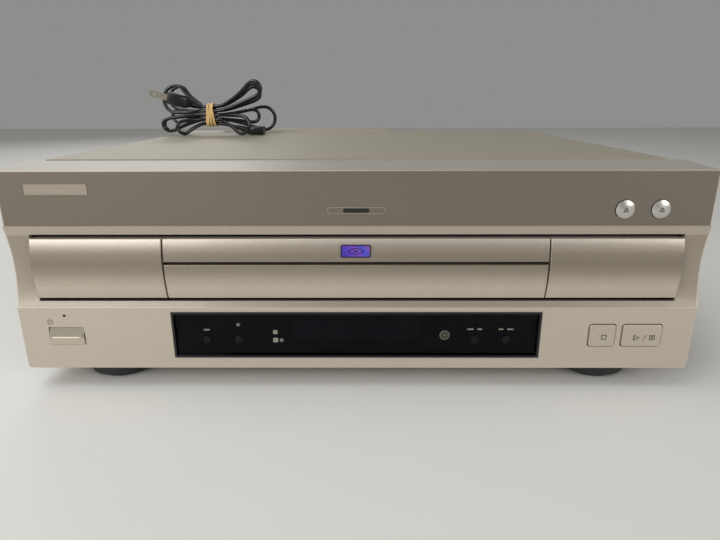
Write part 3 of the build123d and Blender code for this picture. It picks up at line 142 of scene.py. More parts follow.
@dataclass(frozen=True)
class Finish:
    """What every finish has: a colour and how its surface reflects."""

    name: str
    colour: str
    roughness: float
    metallic: float = 0.0
    ior: float = 1.5
    coat: float = 0.0
    variation: float = 0.05      # how far the tone wanders
    cloud_mm: float = 70.0       # how large the patches of tone are

    def material(self) -> bpy.types.Material:
        """Build this finish's material once, and give the same one after that.

        Returns:
            The material.
        """
        made = bpy.data.materials.get(self.name)
        if made and made.get("made_here"):
            return made
        made = bpy.data.materials.new(self.name)
        made["made_here"] = True
        made.use_nodes = True
        made.diffuse_color = linear(self.colour)
        shader = made.node_tree.nodes["Principled BSDF"]
        basics = {"Base Color": linear(self.colour), "Roughness": self.roughness, "Metallic": self.metallic,
                  "IOR": self.ior, "Coat Weight": self.coat}
        for name, value in basics.items():
            shader.inputs[name].default_value = value
        self.pattern(Surface(made.node_tree, shader))
        return made

    def pattern(self, surface: Surface) -> None:
        """Draw what the surface shows from close by. The plain finish has soft patches of tone."""
        surface.give("Base Color", self.tone(surface))

    def tone(self, surface: Surface, code: str = "") -> Socket:
        """The colour, wandering a little in soft patches.

        Args:
            surface: What it is drawn on.
            code: Another colour than the finish's own.

        Returns:
            The colour's output.
        """
        clouds = surface.texture("Noise", self.cloud_mm, 4.0)
        code = code or self.colour
        return surface.add("Mix", {0: clouds.outputs["Fac"], 6: linear(code, 1 - self.variation),
                                   7: linear(code, 1 + self.variation)}, data_type="RGBA").outputs[2]


@dataclass(frozen=True)
class MetallicPaint(Finish):
    """Sprayed acrylic lacquer with aluminium flakes: a soft sheen that breaks up into tiny glints."""

    flake_mm: float = 0.9        # drawn ten times too coarse, so that the glints show in a render
    flake_share: float = 0.05
    peel_mm: float = 2.4         # sprayed lacquer dries with a faint peel
    peel_depth_mm: float = 0.012

    def lacquer(self, surface: Surface) -> Socket:
        """The colour under the flakes."""
        return self.tone(surface)

    def pattern(self, surface: Surface) -> None:
        """Draw flakes in the colour and a faint peel.

        Args:
            surface: What they are drawn on.
        """
        flakes = surface.texture("Voronoi", self.flake_mm)
        glint = surface.add("MapRange", {"Value": flakes.outputs["Color"], "To Min": 1 - self.flake_share,
                                         "To Max": 1 + self.flake_share})
        scaled = surface.add("VectorMath", {0: self.lacquer(surface), "Scale": glint.outputs["Result"]},
                             operation="SCALE")
        surface.give("Base Color", scaled.outputs["Vector"])
        peel = surface.texture("Noise", self.peel_mm, 2.0)
        surface.relief(peel.outputs["Fac"], self.peel_depth_mm)


@dataclass(frozen=True)
class ShadeBandPaint(MetallicPaint):
    """Lacquer with painted shade: its tone steps at given heights, where one moulded face meets the next."""

    # each layer is painted shade or light: a tone that stands for how light falls on that face
    layers: Stops = ()           # from each height in metres upwards
    half: float = 0.2095         # the side faces beyond it keep one tone

    def lacquer(self, surface: Surface) -> Socket:
        """The colour with its painted shade, which changes at each height between the side faces.

        Args:
            surface: What it is drawn on.

        Returns:
            The colour's output.
        """
        place = surface.add("SeparateXYZ", {0: surface.place})
        out = surface.add("Math", {0: place.outputs["X"]}, operation="ABSOLUTE")
        inside = surface.add("Math", {0: out.outputs[0], 1: self.half}, operation="LESS_THAN")
        colour = self.tone(surface)
        # step the painted shade in at each height
        for limit, code in self.layers:
            above = surface.add("Math", {0: place.outputs["Z"], 1: limit}, operation="GREATER_THAN")
            both = surface.add("Math", {0: above.outputs[0], 1: inside.outputs[0]}, operation="MULTIPLY")
            colour = surface.add("Mix", {0: both.outputs[0], 6: colour, 7: self.tone(surface, code)},
                                 data_type="RGBA").outputs[2]
        return colour


@dataclass(frozen=True)
class ShadedPaint(MetallicPaint):
    """Lacquer on a curved moulding, with painted reflections: the tone runs softly with the height, light and dark as
    the curve would mirror the room.
    """

    # painted reflections of the room, from the lower edge of the doors to the upper
    tones: Stops = ((0.0, "#b8ae9f"), (0.2, "#bab0a0"), (0.34, "#a79c8c"), (0.47, "#8c8273"), (0.6, "#7f7568"),
                    (0.76, "#887d70"), (0.9, "#9f9588"), (1.0, "#c0b7ac"))
    low: float = 0.0613          # height of the first tone in metres
    high: float = 0.0987         # height of the last

    def lacquer(self, surface: Surface) -> Socket:
        """The colour with its painted reflections, running from the lower to the upper edge.

        Args:
            surface: What it is drawn on.

        Returns:
            The colour's output.
        """
        height = surface.add("SeparateXYZ", {0: surface.place}).outputs["Z"]
        share = surface.add("MapRange", {"Value": height, "From Min": self.low, "From Max": self.high})
        ramp = surface.add("ValToRGB", {"Fac": share.outputs["Result"]})
        set_ramp(ramp, self.tones)
        return ramp.outputs["Color"]


@dataclass(frozen=True)
class TexturedPaint(Finish):
    """Baked enamel with a fine crinkle, as on steel cabinets: dull, and slightly grainy in raking light."""

    crinkle_mm: float = 1.1      # drawn twice too coarse
    depth_mm: float = 0.05

    def pattern(self, surface: Surface) -> None:
        """Draw soft tone and the crinkle's relief.

        Args:
            surface: What they are drawn on.
        """
        super().pattern(surface)
        crinkle = surface.texture("Noise", self.crinkle_mm, 5.0)
        crinkle.inputs["Roughness"].default_value = 0.6
        surface.relief(crinkle.outputs["Fac"], self.depth_mm)


@dataclass(frozen=True)
class MouldedPlastic(Finish):
    """Injection-moulded plastic from a spark-eroded tool: an even, fine matte grain."""

    grain_mm: float = 0.7        # drawn several times too coarse
    depth_mm: float = 0.03
    handled_mm: float = 18.0     # patches where the gloss is a little uneven

    def pattern(self, surface: Surface) -> None:
        """Draw soft tone, the grain's relief and a little unevenness in the gloss.

        Args:
            surface: What they are drawn on.
        """
        super().pattern(surface)
        grain = surface.texture("Voronoi", self.grain_mm, feature="SMOOTH_F1")
        surface.relief(grain.outputs["Distance"], self.depth_mm)
        handled = surface.texture("Noise", self.handled_mm, 3.0)
        surface.gloss(handled.outputs["Fac"], self.roughness - 0.05, self.roughness + 0.07)


@dataclass(frozen=True)
class RolledMetal(Finish):
    """Plated or brushed metal: long fine lines along the way it was rolled or ground."""

    metallic: float = 1.0
    line_mm: float = 0.8         # drawn coarser than the real lines
    depth_mm: float = 0.008
    stretch: Place = (0.03, 1.0, 1.0)

    def pattern(self, surface: Surface) -> None:
        """Draw lines in the tone, the gloss and the relief.

        Args:
            surface: What they are drawn on.
        """
        drawn_out = surface.add("Mapping", {"Vector": surface.place, "Scale": self.stretch})
        lines = surface.add("TexNoise", {"Vector": drawn_out.outputs["Vector"], "Scale": 1 / (self.line_mm * MM),
                                         "Detail": 3.0}).outputs["Fac"]
        colour = surface.add("Mix", {0: lines, 6: linear(self.colour, 0.88), 7: linear(self.colour, 1.12)},
                             data_type="RGBA")
        surface.give("Base Color", colour.outputs[2])
        surface.gloss(lines, self.roughness - 0.08, self.roughness + 0.1)
        surface.relief(lines, self.depth_mm)


@dataclass(frozen=True)
class ClearSheet(Finish):
    """Cast acrylic or glass, tinted through: clean gloss over what lies behind."""

    dust_mm: float = 25.0

    def pattern(self, surface: Surface) -> None:
        """Let light pass, and a trace of dust dull the gloss unevenly.

        Args:
            surface: What they are drawn on.
        """
        surface.shader.inputs["Transmission Weight"].default_value = 1.0
        dust = surface.texture("Noise", self.dust_mm, 4.0)
        surface.gloss(dust.outputs["Fac"], self.roughness, self.roughness + 0.05)


@dataclass(frozen=True)
class IridescentFilm(Finish):
    """Embossed metallised film under lacquer: violet that turns to blue and rose along its length."""

    middle: Place = (0.0, -0.1918, 0.0916)
    length: float = 0.018
    slant: float = 0.6
    line_mm: float = 4.0         # drawn far coarser than the real embossing
    depth_mm: float = 0.01
    tones: Stops = ((0.0, "#3a2aa8"), (0.3, "#5a36c8"), (0.55, "#7a3fc4"), (0.8, "#3f49d0"), (1.0, "#8a4fb8"))

    def pattern(self, surface: Surface) -> None:
        """Draw a slanted run of colours with embossed lines.

        Args:
            surface: What they are drawn on.
        """
        x, _, z = self.middle
        turned = surface.add("Mapping", {
            "Vector": surface.place, "Location": (0.5 - x / self.length, 0.0, -z / self.length * self.slant),
            "Scale": (1 / self.length, 1.0, self.slant / self.length)}, vector_type="POINT")
        along = surface.add("SeparateXYZ", {0: turned.outputs["Vector"]})
        total = surface.add("Math", {0: along.outputs["X"], 1: along.outputs["Z"]}, operation="ADD")
        ramp = surface.add("ValToRGB", {"Fac": total.outputs[0]})
        set_ramp(ramp, self.tones)
        surface.give("Base Color", ramp.outputs["Color"])
        lines = surface.texture("Wave", self.line_mm, bands_direction="DIAGONAL")
        lines.inputs["Distortion"].default_value = 1.0
        surface.relief(lines.outputs["Fac"], self.depth_mm)


@dataclass(frozen=True)
class PrintedBoard(Finish):
    """Paper laminate with etched copper under lacquer: tracks run square to each other between dots of solder."""

    track_colour: str = "#7d8a3a"
    solder_colour: str = "#b9bcb8"
    track_mm: float = 6.0        # drawn twice too coarse
    track_edge: float = 0.42     # shares of a cell
    solder_edge: float = 0.12
    depth_mm: float = 0.05

    def pattern(self, surface: Surface) -> None:
        """Draw tracks as the borders of square cells, with dots of solder.

        Args:
            surface: What they are drawn on.
        """
        cells = surface.texture("Voronoi", self.track_mm, distance="CHEBYCHEV").outputs["Distance"]
        colour = self.tone(surface)
        for code, edge, side in ((self.track_colour, self.track_edge, "GREATER_THAN"),
                                 (self.solder_colour, self.solder_edge, "LESS_THAN")):
            within = surface.add("Math", {0: cells, 1: edge}, operation=side)
            colour = surface.add("Mix", {0: within.outputs[0], 6: colour, 7: linear(code)},
                                 data_type="RGBA").outputs[2]
        surface.give("Base Color", colour)
        surface.relief(cells, self.depth_mm)


def set_ramp(ramp: bpy.types.Node, stops: Stops) -> None:
    """Give a colour ramp its stops.

    Args:
        ramp: The ramp's node.
        stops: For each stop its position and sRGB code.
    """
    elements = ramp.color_ramp.elements
    while len(elements) < len(stops):
        elements.new(0.5)
    for element, (position, code) in zip(elements, stops):
        element.position = position
        element.color = linear(code)


class Finishes:
    """Every finish of the player, named for the real material and for any light or shade painted into it."""

    # sprayed gold lacquer: warm grey gold, with painted shade and light: darker on the fascia, lighter on ledge and
    # lips
    PANEL = ShadeBandPaint("champagne_lacquer_with_painted_shade", "#b8ae9f", 0.38, 0.35, coat=0.15, variation=0.02, layers=(
        (0.0552, "#968c7e"), (0.1005, "#aca294"), (0.1064, "#70675c"), (0.1385, "#a8a398")))
    # the same gold with painted reflections, running from light to dark to light over the concave doors
    DOOR = ShadedPaint("champagne_lacquer_with_painted_reflections", "#b0a595", 0.34, 0.4, coat=0.2, variation=0.02)
    # the same gold, a little smoother
    BUTTON = MetallicPaint("champagne_lacquer_on_buttons", "#b8ae9e", 0.32, 0.45, coat=0.2, variation=0.02)
    # the same gold, with painted shade above the ridge where the cap leans back
    POWER = ShadeBandPaint("champagne_lacquer_with_painted_shade_on_power_button", "#b8ae9e", 0.36, 0.4, variation=0.02,
                         layers=((0.0356, "#655d52"),))
    # thin plating on a moulded cap: pale, with soft highlights
    SILVER_CAP = RolledMetal("vacuum_plated_abs", "#c2bfb8", 0.30, metallic=0.9, line_mm=0.5)
    # a painted highlight: a thin light line along the power button's ridge
    RIDGE_HIGHLIGHT = MetallicPaint("painted_highlight_on_ridge", "#e2dcc4", 0.25, 0.2, coat=0.4, variation=0.01)
    # enamel on folded sheet: greyer and duller than the lacquer
    COVER = TexturedPaint("champagne_enamel_on_steel", "#979080", 0.5, 0.2, variation=0.03, cloud_mm=120.0)
    # zinc: cool blurred grey with faint lines
    ZINC = RolledMetal("zinc_plated_steel", "#b4b6b2", 0.42)
    REAR = RolledMetal("plated_rear_steel", "#a7a69e", 0.45, stretch=(1.0, 1.0, 0.03))
    # nickel: warm and fairly bright, worn dull on the washers
    SCREW = RolledMetal("nickel_plated_screw", "#a5a29a", 0.28, line_mm=1.5, stretch=(1.0, 1.0, 1.0))
    WASHER = RolledMetal("plated_washer", "#8d8a80", 0.40, line_mm=1.5, stretch=(1.0, 1.0, 1.0))
    BLADE = RolledMetal("nickel_plated_brass", "#c7c1ae", 0.25, line_mm=1.0)
    # black ABS: nearly black, matte from its grain, or glossy where the mould is polished
    FOOT = MouldedPlastic("black_abs_foot", "#1b1b1c", 0.45)
    BLACK = MouldedPlastic("black_abs", "#151516", 0.42)
    BUTTON_BLACK = MouldedPlastic("satin_black_abs", "#08080a", 0.3, ior=1.3, grain_mm=3.0, depth_mm=0.01)
    GLOSS_BLACK = MouldedPlastic("polished_black_abs", "#08080a", 0.12, grain_mm=6.0, depth_mm=0.004)
    TRAY = MouldedPlastic("charcoal_abs_tray", "#2a2a2c", 0.50, grain_mm=0.9, depth_mm=0.035)
    # rubber: dead black without a highlight
    PAD = MouldedPlastic("felted_rubber_pad", "#141414", 0.85, grain_mm=1.4, depth_mm=0.12)
    FELT = MouldedPlastic("turntable_rubber", "#0e0e0e", 0.8, grain_mm=1.0, depth_mm=0.08)
    BELT = MouldedPlastic("neoprene_belt", "#0f0f10", 0.7)
    # acetal: waxy, with a broad soft highlight
    MECHANISM = MouldedPlastic("black_acetal", "#202022", 0.38)
    ACETAL = MouldedPlastic("white_acetal", "#ddd8c8", 0.35, grain_mm=1.5, depth_mm=0.01)
    # screen ink: flat and even
    GREY_INK = MouldedPlastic("grey_silkscreen_ink", "#3b3733", 0.6, grain_mm=1.0, depth_mm=0.002)
    PALE_INK = MouldedPlastic("pale_silkscreen_ink", "#8f8d80", 0.6, grain_mm=1.0, depth_mm=0.002)
    DARK_INK = MouldedPlastic("black_silkscreen_ink", "#0d0c0b", 0.5, grain_mm=1.0, depth_mm=0.002)
    # acrylic coated against glare: dark, and mirrors little, so its index is low
    SMOKED = ClearSheet("smoked_window_acrylic", "#5c6076", 0.03, ior=1.2)
    # glass: clear with sharp reflections; the lens is coated blue
    TUBE_GLASS = ClearSheet("display_tube_glass", "#e8ecec", 0.02, ior=1.45)
    LENS = ClearSheet("coated_lens_glass", "#9fb0d8", 0.02, ior=1.5)
    # phosphor and grid of a display that is off: chalky grey over a rosy haze
    PHOSPHOR = MouldedPlastic("unlit_phosphor", "#6f6f72", 0.7, grain_mm=0.5, depth_mm=0.01)
    ANODE = MouldedPlastic("dark_display_grid", "#b8607c", 0.5, grain_mm=0.8, depth_mm=0.02)
    # boards: brown laminate with green tracks, or painted black as shade where they could show through a gap
    BOARD = PrintedBoard("paper_laminate_board", "#8a6a3a", 0.45)
    BOARD_IN_PAINTED_SHADE = PrintedBoard("board_painted_black_as_shade", "#0f0e0c", 0.6, track_colour="#13130f",
                              solder_colour="#2a2a29")
    # shrunk sleeve: dark blue with a sheen
    PART = MouldedPlastic("capacitor_sleeve", "#1d2434", 0.35)
    # anodised metal: black with a metal's sheen, lined along the extrusion
    SINK = RolledMetal("black_anodised_aluminium", "#26262a", 0.4, metallic=0.8, stretch=(1.0, 0.05, 1.0))
    # stacked sheet iron under varnish: brown, with level lines
    IRON = RolledMetal("varnished_core_laminations", "#54402e", 0.5, metallic=0.4, stretch=(1.0, 1.0, 0.03))
    # drawn can and ground shaft: bright, with lines along or round
    MOTOR = RolledMetal("plated_motor_can", "#9c9d9b", 0.32, stretch=(1.0, 1.0, 0.05))
    SHAFT = RolledMetal("ground_steel_shaft", "#c9c9c6", 0.18, stretch=(1.0, 0.05, 1.0))
    # die casting: grey metal with a pitted skin
    ALLOY = MouldedPlastic("cast_zinc_alloy", "#8b8d8e", 0.45, metallic=0.85, grain_mm=1.4, depth_mm=0.05)
    # polyester film: pale and smooth
    RIBBON = MouldedPlastic("flat_cable_film", "#cfcfc6", 0.35)
    # satin anodised strip: fine lines and a soft glow
    TRIM = RolledMetal("satin_aluminium_trim", "#a49b8d", 0.34, line_mm=0.5)
    # metallised film: the one strong colour of the front
    FILM = IridescentFilm("metallised_film", "#5a36c8", 0.25, metallic=0.6, coat=0.6)
    # soft PVC: black with long narrow highlights
    VINYL = MouldedPlastic("pvc_cord_sheath", "#0e0e11", 0.2, grain_mm=5.0, depth_mm=0.006)
    PLUG = MouldedPlastic("moulded_pvc_plug", "#121317", 0.24, grain_mm=2.5, depth_mm=0.008)
    # natural rubber: tan and patchy, with a weak sheen
    BAND = MouldedPlastic("natural_rubber_band", "#d3b071", 0.45, grain_mm=0.8, depth_mm=0.03, variation=0.12,
                          cloud_mm=3.0)


# ---------------------------------------------------------------- meshes

def add_object(name: str, data: bpy.types.ID) -> Piece:
    """Make an object and put it into the scene.

    Args:
        name: Its name.
        data: Its mesh, curve, lamp or camera.

    Returns:
        The object.
    """
    made = bpy.data.objects.new(name, data)
    bpy.context.scene.collection.objects.link(made)
    return made


def add_mesh(name: str, shape: Shape | Mesh, finish: Finish, crease: float = 32.0) -> Piece:
    """Put a mesh into the scene, smooth up to a crease angle.

    Args:
        name: The piece's name.
        shape: Its shape, in the row frame.
        finish: Its finish.
        crease: Edges that turn more than this many degrees stay sharp.

    Returns:
        The new object.
    """
    mesh = to_mesh(name, shape) if isinstance(shape, Shape) else shape
    mesh.materials.clear()
    mesh.materials.append(finish.material())
    mesh.shade_smooth()
    mesh.set_sharp_from_angle(angle=math.radians(crease))
    return add_object(name, mesh)


def settle(piece: Piece, body: str, slot: str, *replaced: str) -> Piece:
    """Let a piece ride on a body, and hide the CAD nodes that it stands for.

    Args:
        piece: The piece.
        body: Name of the body.
        slot: Name of the slot; not used.
        replaced: CAD nodes that it stands for.

    Returns:
        The piece.
    """
    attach(piece, body)
    if replaced:
        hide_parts(*replaced)
    LOG.info("%s rides on %s", piece.name, body)
    return piece


def add_piece(name: str, shape: Shape | Mesh, finish: Finish, body: str, slot: str,
              *replaced: str, crease: float = 32.0) -> Piece:
    """Put a mesh into the scene and settle it, as add_mesh and settle say."""
    return settle(add_mesh(name, shape, finish, crease), body, slot, *replaced)


def dress(finish: Finish, *nodes: str) -> None:
    """Give CAD nodes a finish.

    Args:
        finish: The finish.
        nodes: Names of the nodes.
    """
    for node in nodes:
        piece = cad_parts[node]
        if not piece.material_slots:
            piece.data.materials.append(finish.material())
        for place in piece.material_slots:
            place.material = finish.material()


def to_mesh(name: str, bm: Shape) -> Mesh:
    """Finish a bmesh: merge doubles and turn the normals outward.

    Args:
        name: Name of the mesh.
        bm: The bmesh, which is freed.

    Returns:
        The mesh.
    """
    bmesh.ops.remove_doubles(bm, verts=bm.verts, dist=0.000005)
    bmesh.ops.recalc_face_normals(bm, faces=bm.faces)
    mesh = bpy.data.meshes.new(name)
    bm.to_mesh(mesh)
    bm.free()
    return mesh


def add_loft(bm: Shape, rings: Sequence[Ring], closed: bool = False) -> None:
    """Skin a row of equal rings, with flat ends unless the row closes on itself.

    Args:
        bm: The bmesh to add to.
        rings: Rings of points, each with the same count.
        closed: Whether the last ring joins the first.
    """
    loops = [[bm.verts.new(point) for point in points] for points in rings]
    for one, two in list(zip(loops, loops[1:])) + ([(loops[-1], loops[0])] if closed else []):
        for index in range(len(one)):
            following = (index + 1) % len(one)
            bm.faces.new((one[index], one[following], two[following], two[index]))
    if not closed:
        bm.faces.new(loops[0])
        bm.faces.new(loops[-1])


def circle_ring(centre: Vector, side: Vector, up: Vector, radius: float, count: int = 32) -> Ring:
    """Points of a circle round centre, in the plane of side and up."""
    turn = 2 * math.pi / count
    return [centre + side * (radius * math.cos(step * turn)) + up * (radius * math.sin(step * turn))
            for step in range(count)]


def soft_ring(centre: Vector, side: Vector, up: Vector, width: float, height: float, corner: float) -> Ring:
    """Points of a rounded rectangle round centre, in the plane of side and up."""
    return [centre + side * x + up * y for x, y in rounded(width, height, corner)]


def rounded(width: float, height: float, corner: float, steps: int = 6) -> Outline:
    """Outline of a rounded rectangle about the origin.

    Args:
        width: Its whole width.
        height: Its whole height.
        corner: Radius of its corners.
        steps: Edges in each corner.

    Returns:
        Its points.
    """
    points = []
    for quarter, (sx, sy) in enumerate(((1, 1), (-1, 1), (-1, -1), (1, -1))):
        for step in range(steps + 1):
            angle = math.radians(90 * quarter + 90 * step / steps)
            points.append((sx * (width / 2 - corner) + corner * math.cos(angle),
                           sy * (height / 2 - corner) + corner * math.sin(angle)))
    return points


def arc(radius: float, start: float, end: float, steps: int, x: float = 0.0, y: float = 0.0) -> Outline:
    """Points of an arc about (x, y) between two angles in degrees."""
    angles = [math.radians(start + (end - start) * step / steps) for step in range(steps + 1)]
    return [(x + radius * math.cos(angle), y + radius * math.sin(angle)) for angle in angles]


def lathe(bm: Shape, profile: Sequence[tuple[float, float]], base: Vector, axis: Vector, count: int = 40) -> None:
    """Spin a closed profile round an axis.

    Args:
        bm: The bmesh to add to.
        profile: Radius and height of each corner, in millimetres, from one end to the other.
        base: Where height is zero, in metres.
        axis: Direction of the axis.
        count: Points round.
    """
    axis = axis.normalized()
    side = axis.orthogonal().normalized()
    up = axis.cross(side)
    add_loft(bm, [circle_ring(base + axis * (height * MM), side, up, max(radius, 0.002) * MM, count)
                  for radius, height in profile])


def flat_mesh(name: str, loops: Iterable[Outline], thickness: float, matrix: Matrix) -> Mesh:
    """A plate from outlines, where an outline inside another is a hole.

    Args:
        name: Name of the mesh.
        loops: Outlines in millimetres.
        thickness: Thickness in millimetres.
        matrix: Takes the plate's plane to its place.

    Returns:
        The mesh, in metres.
    """
    curve = bpy.data.curves.new(name, "CURVE")
    curve.dimensions = "2D"
    curve.fill_mode = "BOTH"
    curve.extrude = thickness * MM / 2
    for loop in loops:
        spline = curve.splines.new("POLY")
        spline.points.add(len(loop) - 1)
        for point, (x, y) in zip(spline.points, loop):
            point.co = (x * MM, y * MM, 0.0, 1.0)
        spline.use_cyclic_u = True
    holder = add_object(name, curve)
    mesh = bpy.data.meshes.new_from_object(holder)
    mesh.name = name
    mesh.transform(matrix)
    bpy.data.objects.remove(holder)
    bpy.data.curves.remove(curve)
    return mesh


def plates(parts: Iterable[tuple[list[Outline], Matrix]], thickness: float) -> Shape:
    """Several plates in one bmesh.

    Args:
        parts: For each plate its outlines in millimetres, and the matrix to its place.
        thickness: Thickness of each in millimetres.

    Returns:
        The bmesh.
    """
    bm = bmesh.new()
    for loops, matrix in parts:
        mesh = flat_mesh("plate", loops, thickness, matrix)
        bm.from_mesh(mesh)
        bpy.data.meshes.remove(mesh)
    return bm


def facing(x: float, y: float, z: float, rear: bool = False) -> Matrix:
    """Matrix that stands a flat shape up, facing the front or the rear.

    Args:
        x: Where its origin goes, in millimetres, as y and z.
        y: The same, to the rear.
        z: The same, upward.
        rear: Whether it faces the rear.

    Returns:
        The matrix.
    """
    turn = Matrix.Rotation(math.pi / 2, 4, "X")
    if rear:
        turn = Matrix.Rotation(math.pi, 4, "Z") @ turn
    return Matrix.Translation((x * MM, y * MM, z * MM)) @ turn


# ---------------------------------------------------------------- studio

@dataclass(frozen=True)
class Lamp:
    """A soft rectangular lamp: sizes in metres, power in watts."""

    name: str
    place: Place
    aim: Place
    width: float
    depth: float
    watts: float

    def build(self) -> None:
        """Hang the lamp, turned to its aim."""
        data = bpy.data.lights.new(self.name, "AREA")
        data.shape = "RECTANGLE"
        data.size, data.size_y = self.width, self.depth
        data.energy = self.watts
        way = Vector(self.aim) - Vector(self.place)
        turn = way.to_track_quat("-Z", "Y").to_matrix().to_4x4()
        add_object(self.name, data).matrix_world = Matrix.Translation(self.place) @ turn


@dataclass
class Studio:
    """Camera, floor and soft light."""

    place: Place = (0.004728, -0.50599, 0.178616)
    pitch: float = 17.422        # degrees down
    yaw: float = -0.399          # degrees to the right
    roll: float = 0.153          # degrees clockwise
    lens: float = 27.39          # millimetres, on a frame 36 wide
    frame_width: float = 36.0
    near: float = 0.01
    floor_half: float = 3.0
    sky: str = "#d2d2d0"
    sky_strength: float = 0.42
    floor_finish: Finish = MouldedPlastic("pale_floor", "#d9d8d4", 0.65, grain_mm=3.0, depth_mm=0.01, variation=0.01)
    lamps: tuple[Lamp, ...] = (
        Lamp("overhead", (-0.55, -0.35, 1.35), (0.0, 0.0, 0.1), 1.3, 1.0, 9.0),
        Lamp("front_left", (-1.1, -1.6, 0.85), (0.0, -0.15, 0.08), 1.3, 0.9, 19.0),
        Lamp("front_right", (1.4, -1.4, 0.8), (0.0, -0.1, 0.08), 1.0, 0.8, 11.0),
        Lamp("rear", (-0.9, 1.6, 1.2), (0.0, 0.1, 0.08), 1.2, 0.8, 8.0),
    )

    def build(self) -> None:
        """Make camera, floor, lamps and world."""
        self.camera()
        self.floor()
        for lamp in self.lamps:
            lamp.build()
        self.world()

    def camera(self) -> None:
        """Place the camera where the photograph was taken from."""
        pitch, yaw, roll = (math.radians(angle) for angle in (self.pitch, self.yaw, self.roll))
        ahead = Vector((math.sin(yaw) * math.cos(pitch), math.cos(yaw) * math.cos(pitch), -math.sin(pitch)))
        right = Vector((math.cos(yaw), -math.sin(yaw), 0.0))
        down = ahead.cross(right)
        turned_right = right * math.cos(roll) + down * math.sin(roll)
        turned_down = down * math.cos(roll) - right * math.sin(roll)
        data = bpy.data.cameras.new("camera")
        data.lens = self.lens
        data.sensor_width = self.frame_width
        data.clip_start = self.near
        axes = Matrix((turned_right, -turned_down, -ahead)).transposed().to_4x4()
        piece = add_object("camera", data)
        piece.matrix_world = Matrix.Translation(self.place) @ axes
        bpy.context.scene.camera = piece

    def floor(self) -> None:
        """Lay a plain pale floor."""
        bm = bmesh.new()
        corners = ((-1, -1), (1, -1), (1, 1), (-1, 1))
        bm.faces.new([bm.verts.new((x * self.floor_half, y * self.floor_half, 0.0)) for x, y in corners])
        add_mesh("floor", bm, self.floor_finish)

    def world(self) -> None:
        """Give even light from all round, with a plain grey behind."""
        world = bpy.data.worlds.new("studio")
        bpy.context.scene.world = world
        world.use_nodes = True
        background = world.node_tree.nodes["Background"]
        background.inputs["Color"].default_value = linear(self.sky)
        background.inputs["Strength"].default_value = self.sky_strength


# ---------------------------------------------------------------- printed symbols

class Symbol(Enum):
    """Plain control symbols."""

    STOP = "stop"
    PLAY = "play"
    PAUSE = "pause"
    SLASH = "slash"
    EJECT = "eject"
    POWER = "power"
    SKIP_BACK = "skip_back"
    SKIP_FORWARD = "skip_forward"
    TURN_OVER = "turn_over"
    DIM = "dim"
    DISC = "disc"


def bar(x: float, y: float, width: float, height: float) -> Outline:
    """A filled rectangle about (x, y)."""
    return [(x - width / 2, y - height / 2), (x + width / 2, y - height / 2),
            (x + width / 2, y + height / 2), (x - width / 2, y + height / 2)]


def arrow(x: float, y: float, size: float, way: int) -> Outline:
    """A filled triangle about (x, y) whose tip points along X."""
    return [(x - way * size / 2, y - size / 2), (x + way * size / 2, y), (x - way * size / 2, y + size / 2)]


def circle(radius: float, line: float) -> list[Outline]:
    """A circle drawn as a line."""
    return [arc(radius, 0, 350, 35), arc(radius - line, 0, 350, 35)]


def outlines(symbol: Symbol, size: float, line: float) -> list[Outline]:
    """Outlines of a symbol about the origin.

    Args:
        symbol: Which one.
        size: Its height in millimetres.
        line: Width of its lines in millimetres.

    Returns:
        Its outlines, where an inner one is a hole.
    """
    half = size / 2
    match symbol:
        case Symbol.STOP:
            return [bar(0, 0, size, size), bar(0, 0, size - 2 * line, size - 2 * line)]
        case Symbol.PLAY:
            return [arrow(0, 0, size, 1), arrow(-0.35 * line, 0, size - 3.2 * line, 1)]
        case Symbol.PAUSE:
            return [bar(x, 0, 0.3 * size + grow * line, size - (1 - grow) * line)
                    for grow in (1, -1) for x in (-0.28 * size, 0.28 * size)]
        case Symbol.SLASH:
            return [[(-half * 0.6, -half), (-half * 0.6 + line, -half), (half * 0.6, half), (half * 0.6 - line, half)]]
        case Symbol.EJECT:
            return [[(-half, -half * 0.25), (half, -half * 0.25), (0, half)], bar(0, -half * 0.7, size, 0.22 * size)]
        case Symbol.POWER:
            turned = arc(half, 125, 415, 26) + list(reversed(arc(half - line, 125, 415, 26)))
            return [turned, bar(0, half * 0.6, line, size * 0.75)]
        case Symbol.SKIP_BACK | Symbol.SKIP_FORWARD:
            way = -1 if symbol is Symbol.SKIP_BACK else 1
            twice = [arrow(way * offset * size, 0, size, way) for offset in (-2.6, -1.6, 1.0, 2.0)]
            return twice + [bar(way * 2.75 * size, 0, 0.28 * size, size)]
        case Symbol.TURN_OVER:
            return [arrow(-0.9 * size, 0, size, -1), arrow(0.9 * size, 0, size, 1), bar(0, 0, 0.2 * size, size)]
        case Symbol.DIM:
            return circle(half, line) + [arc(half - 1.6 * line, 90, 270, 18)]
        case Symbol.DISC:
            return circle(half, line) + circle(half * 0.68, line * 0.5) + circle(half * 0.3, line)


@dataclass(frozen=True)
class Mark:
    """One printed symbol and its place, in millimetres."""

    symbol: Symbol
    size: float
    line: float
    x: float
    z: float


def print_marks(name: str, body: str, ink: Finish, y: float, marks: Iterable[Mark]) -> None:
    """Print symbols as one thin layer of ink.

    Args:
        name: Name of the layer.
        body: Body that it rides on.
        ink: Its finish.
        y: Where the layer lies, in millimetres.
        marks: The symbols.
    """
    parts = [(outlines(mark.symbol, mark.size, mark.line), facing(mark.x, y, mark.z)) for mark in marks]
    add_piece(name, plates(parts, 0.08), ink, body, "button_black")


# ---------------------------------------------------------------- front

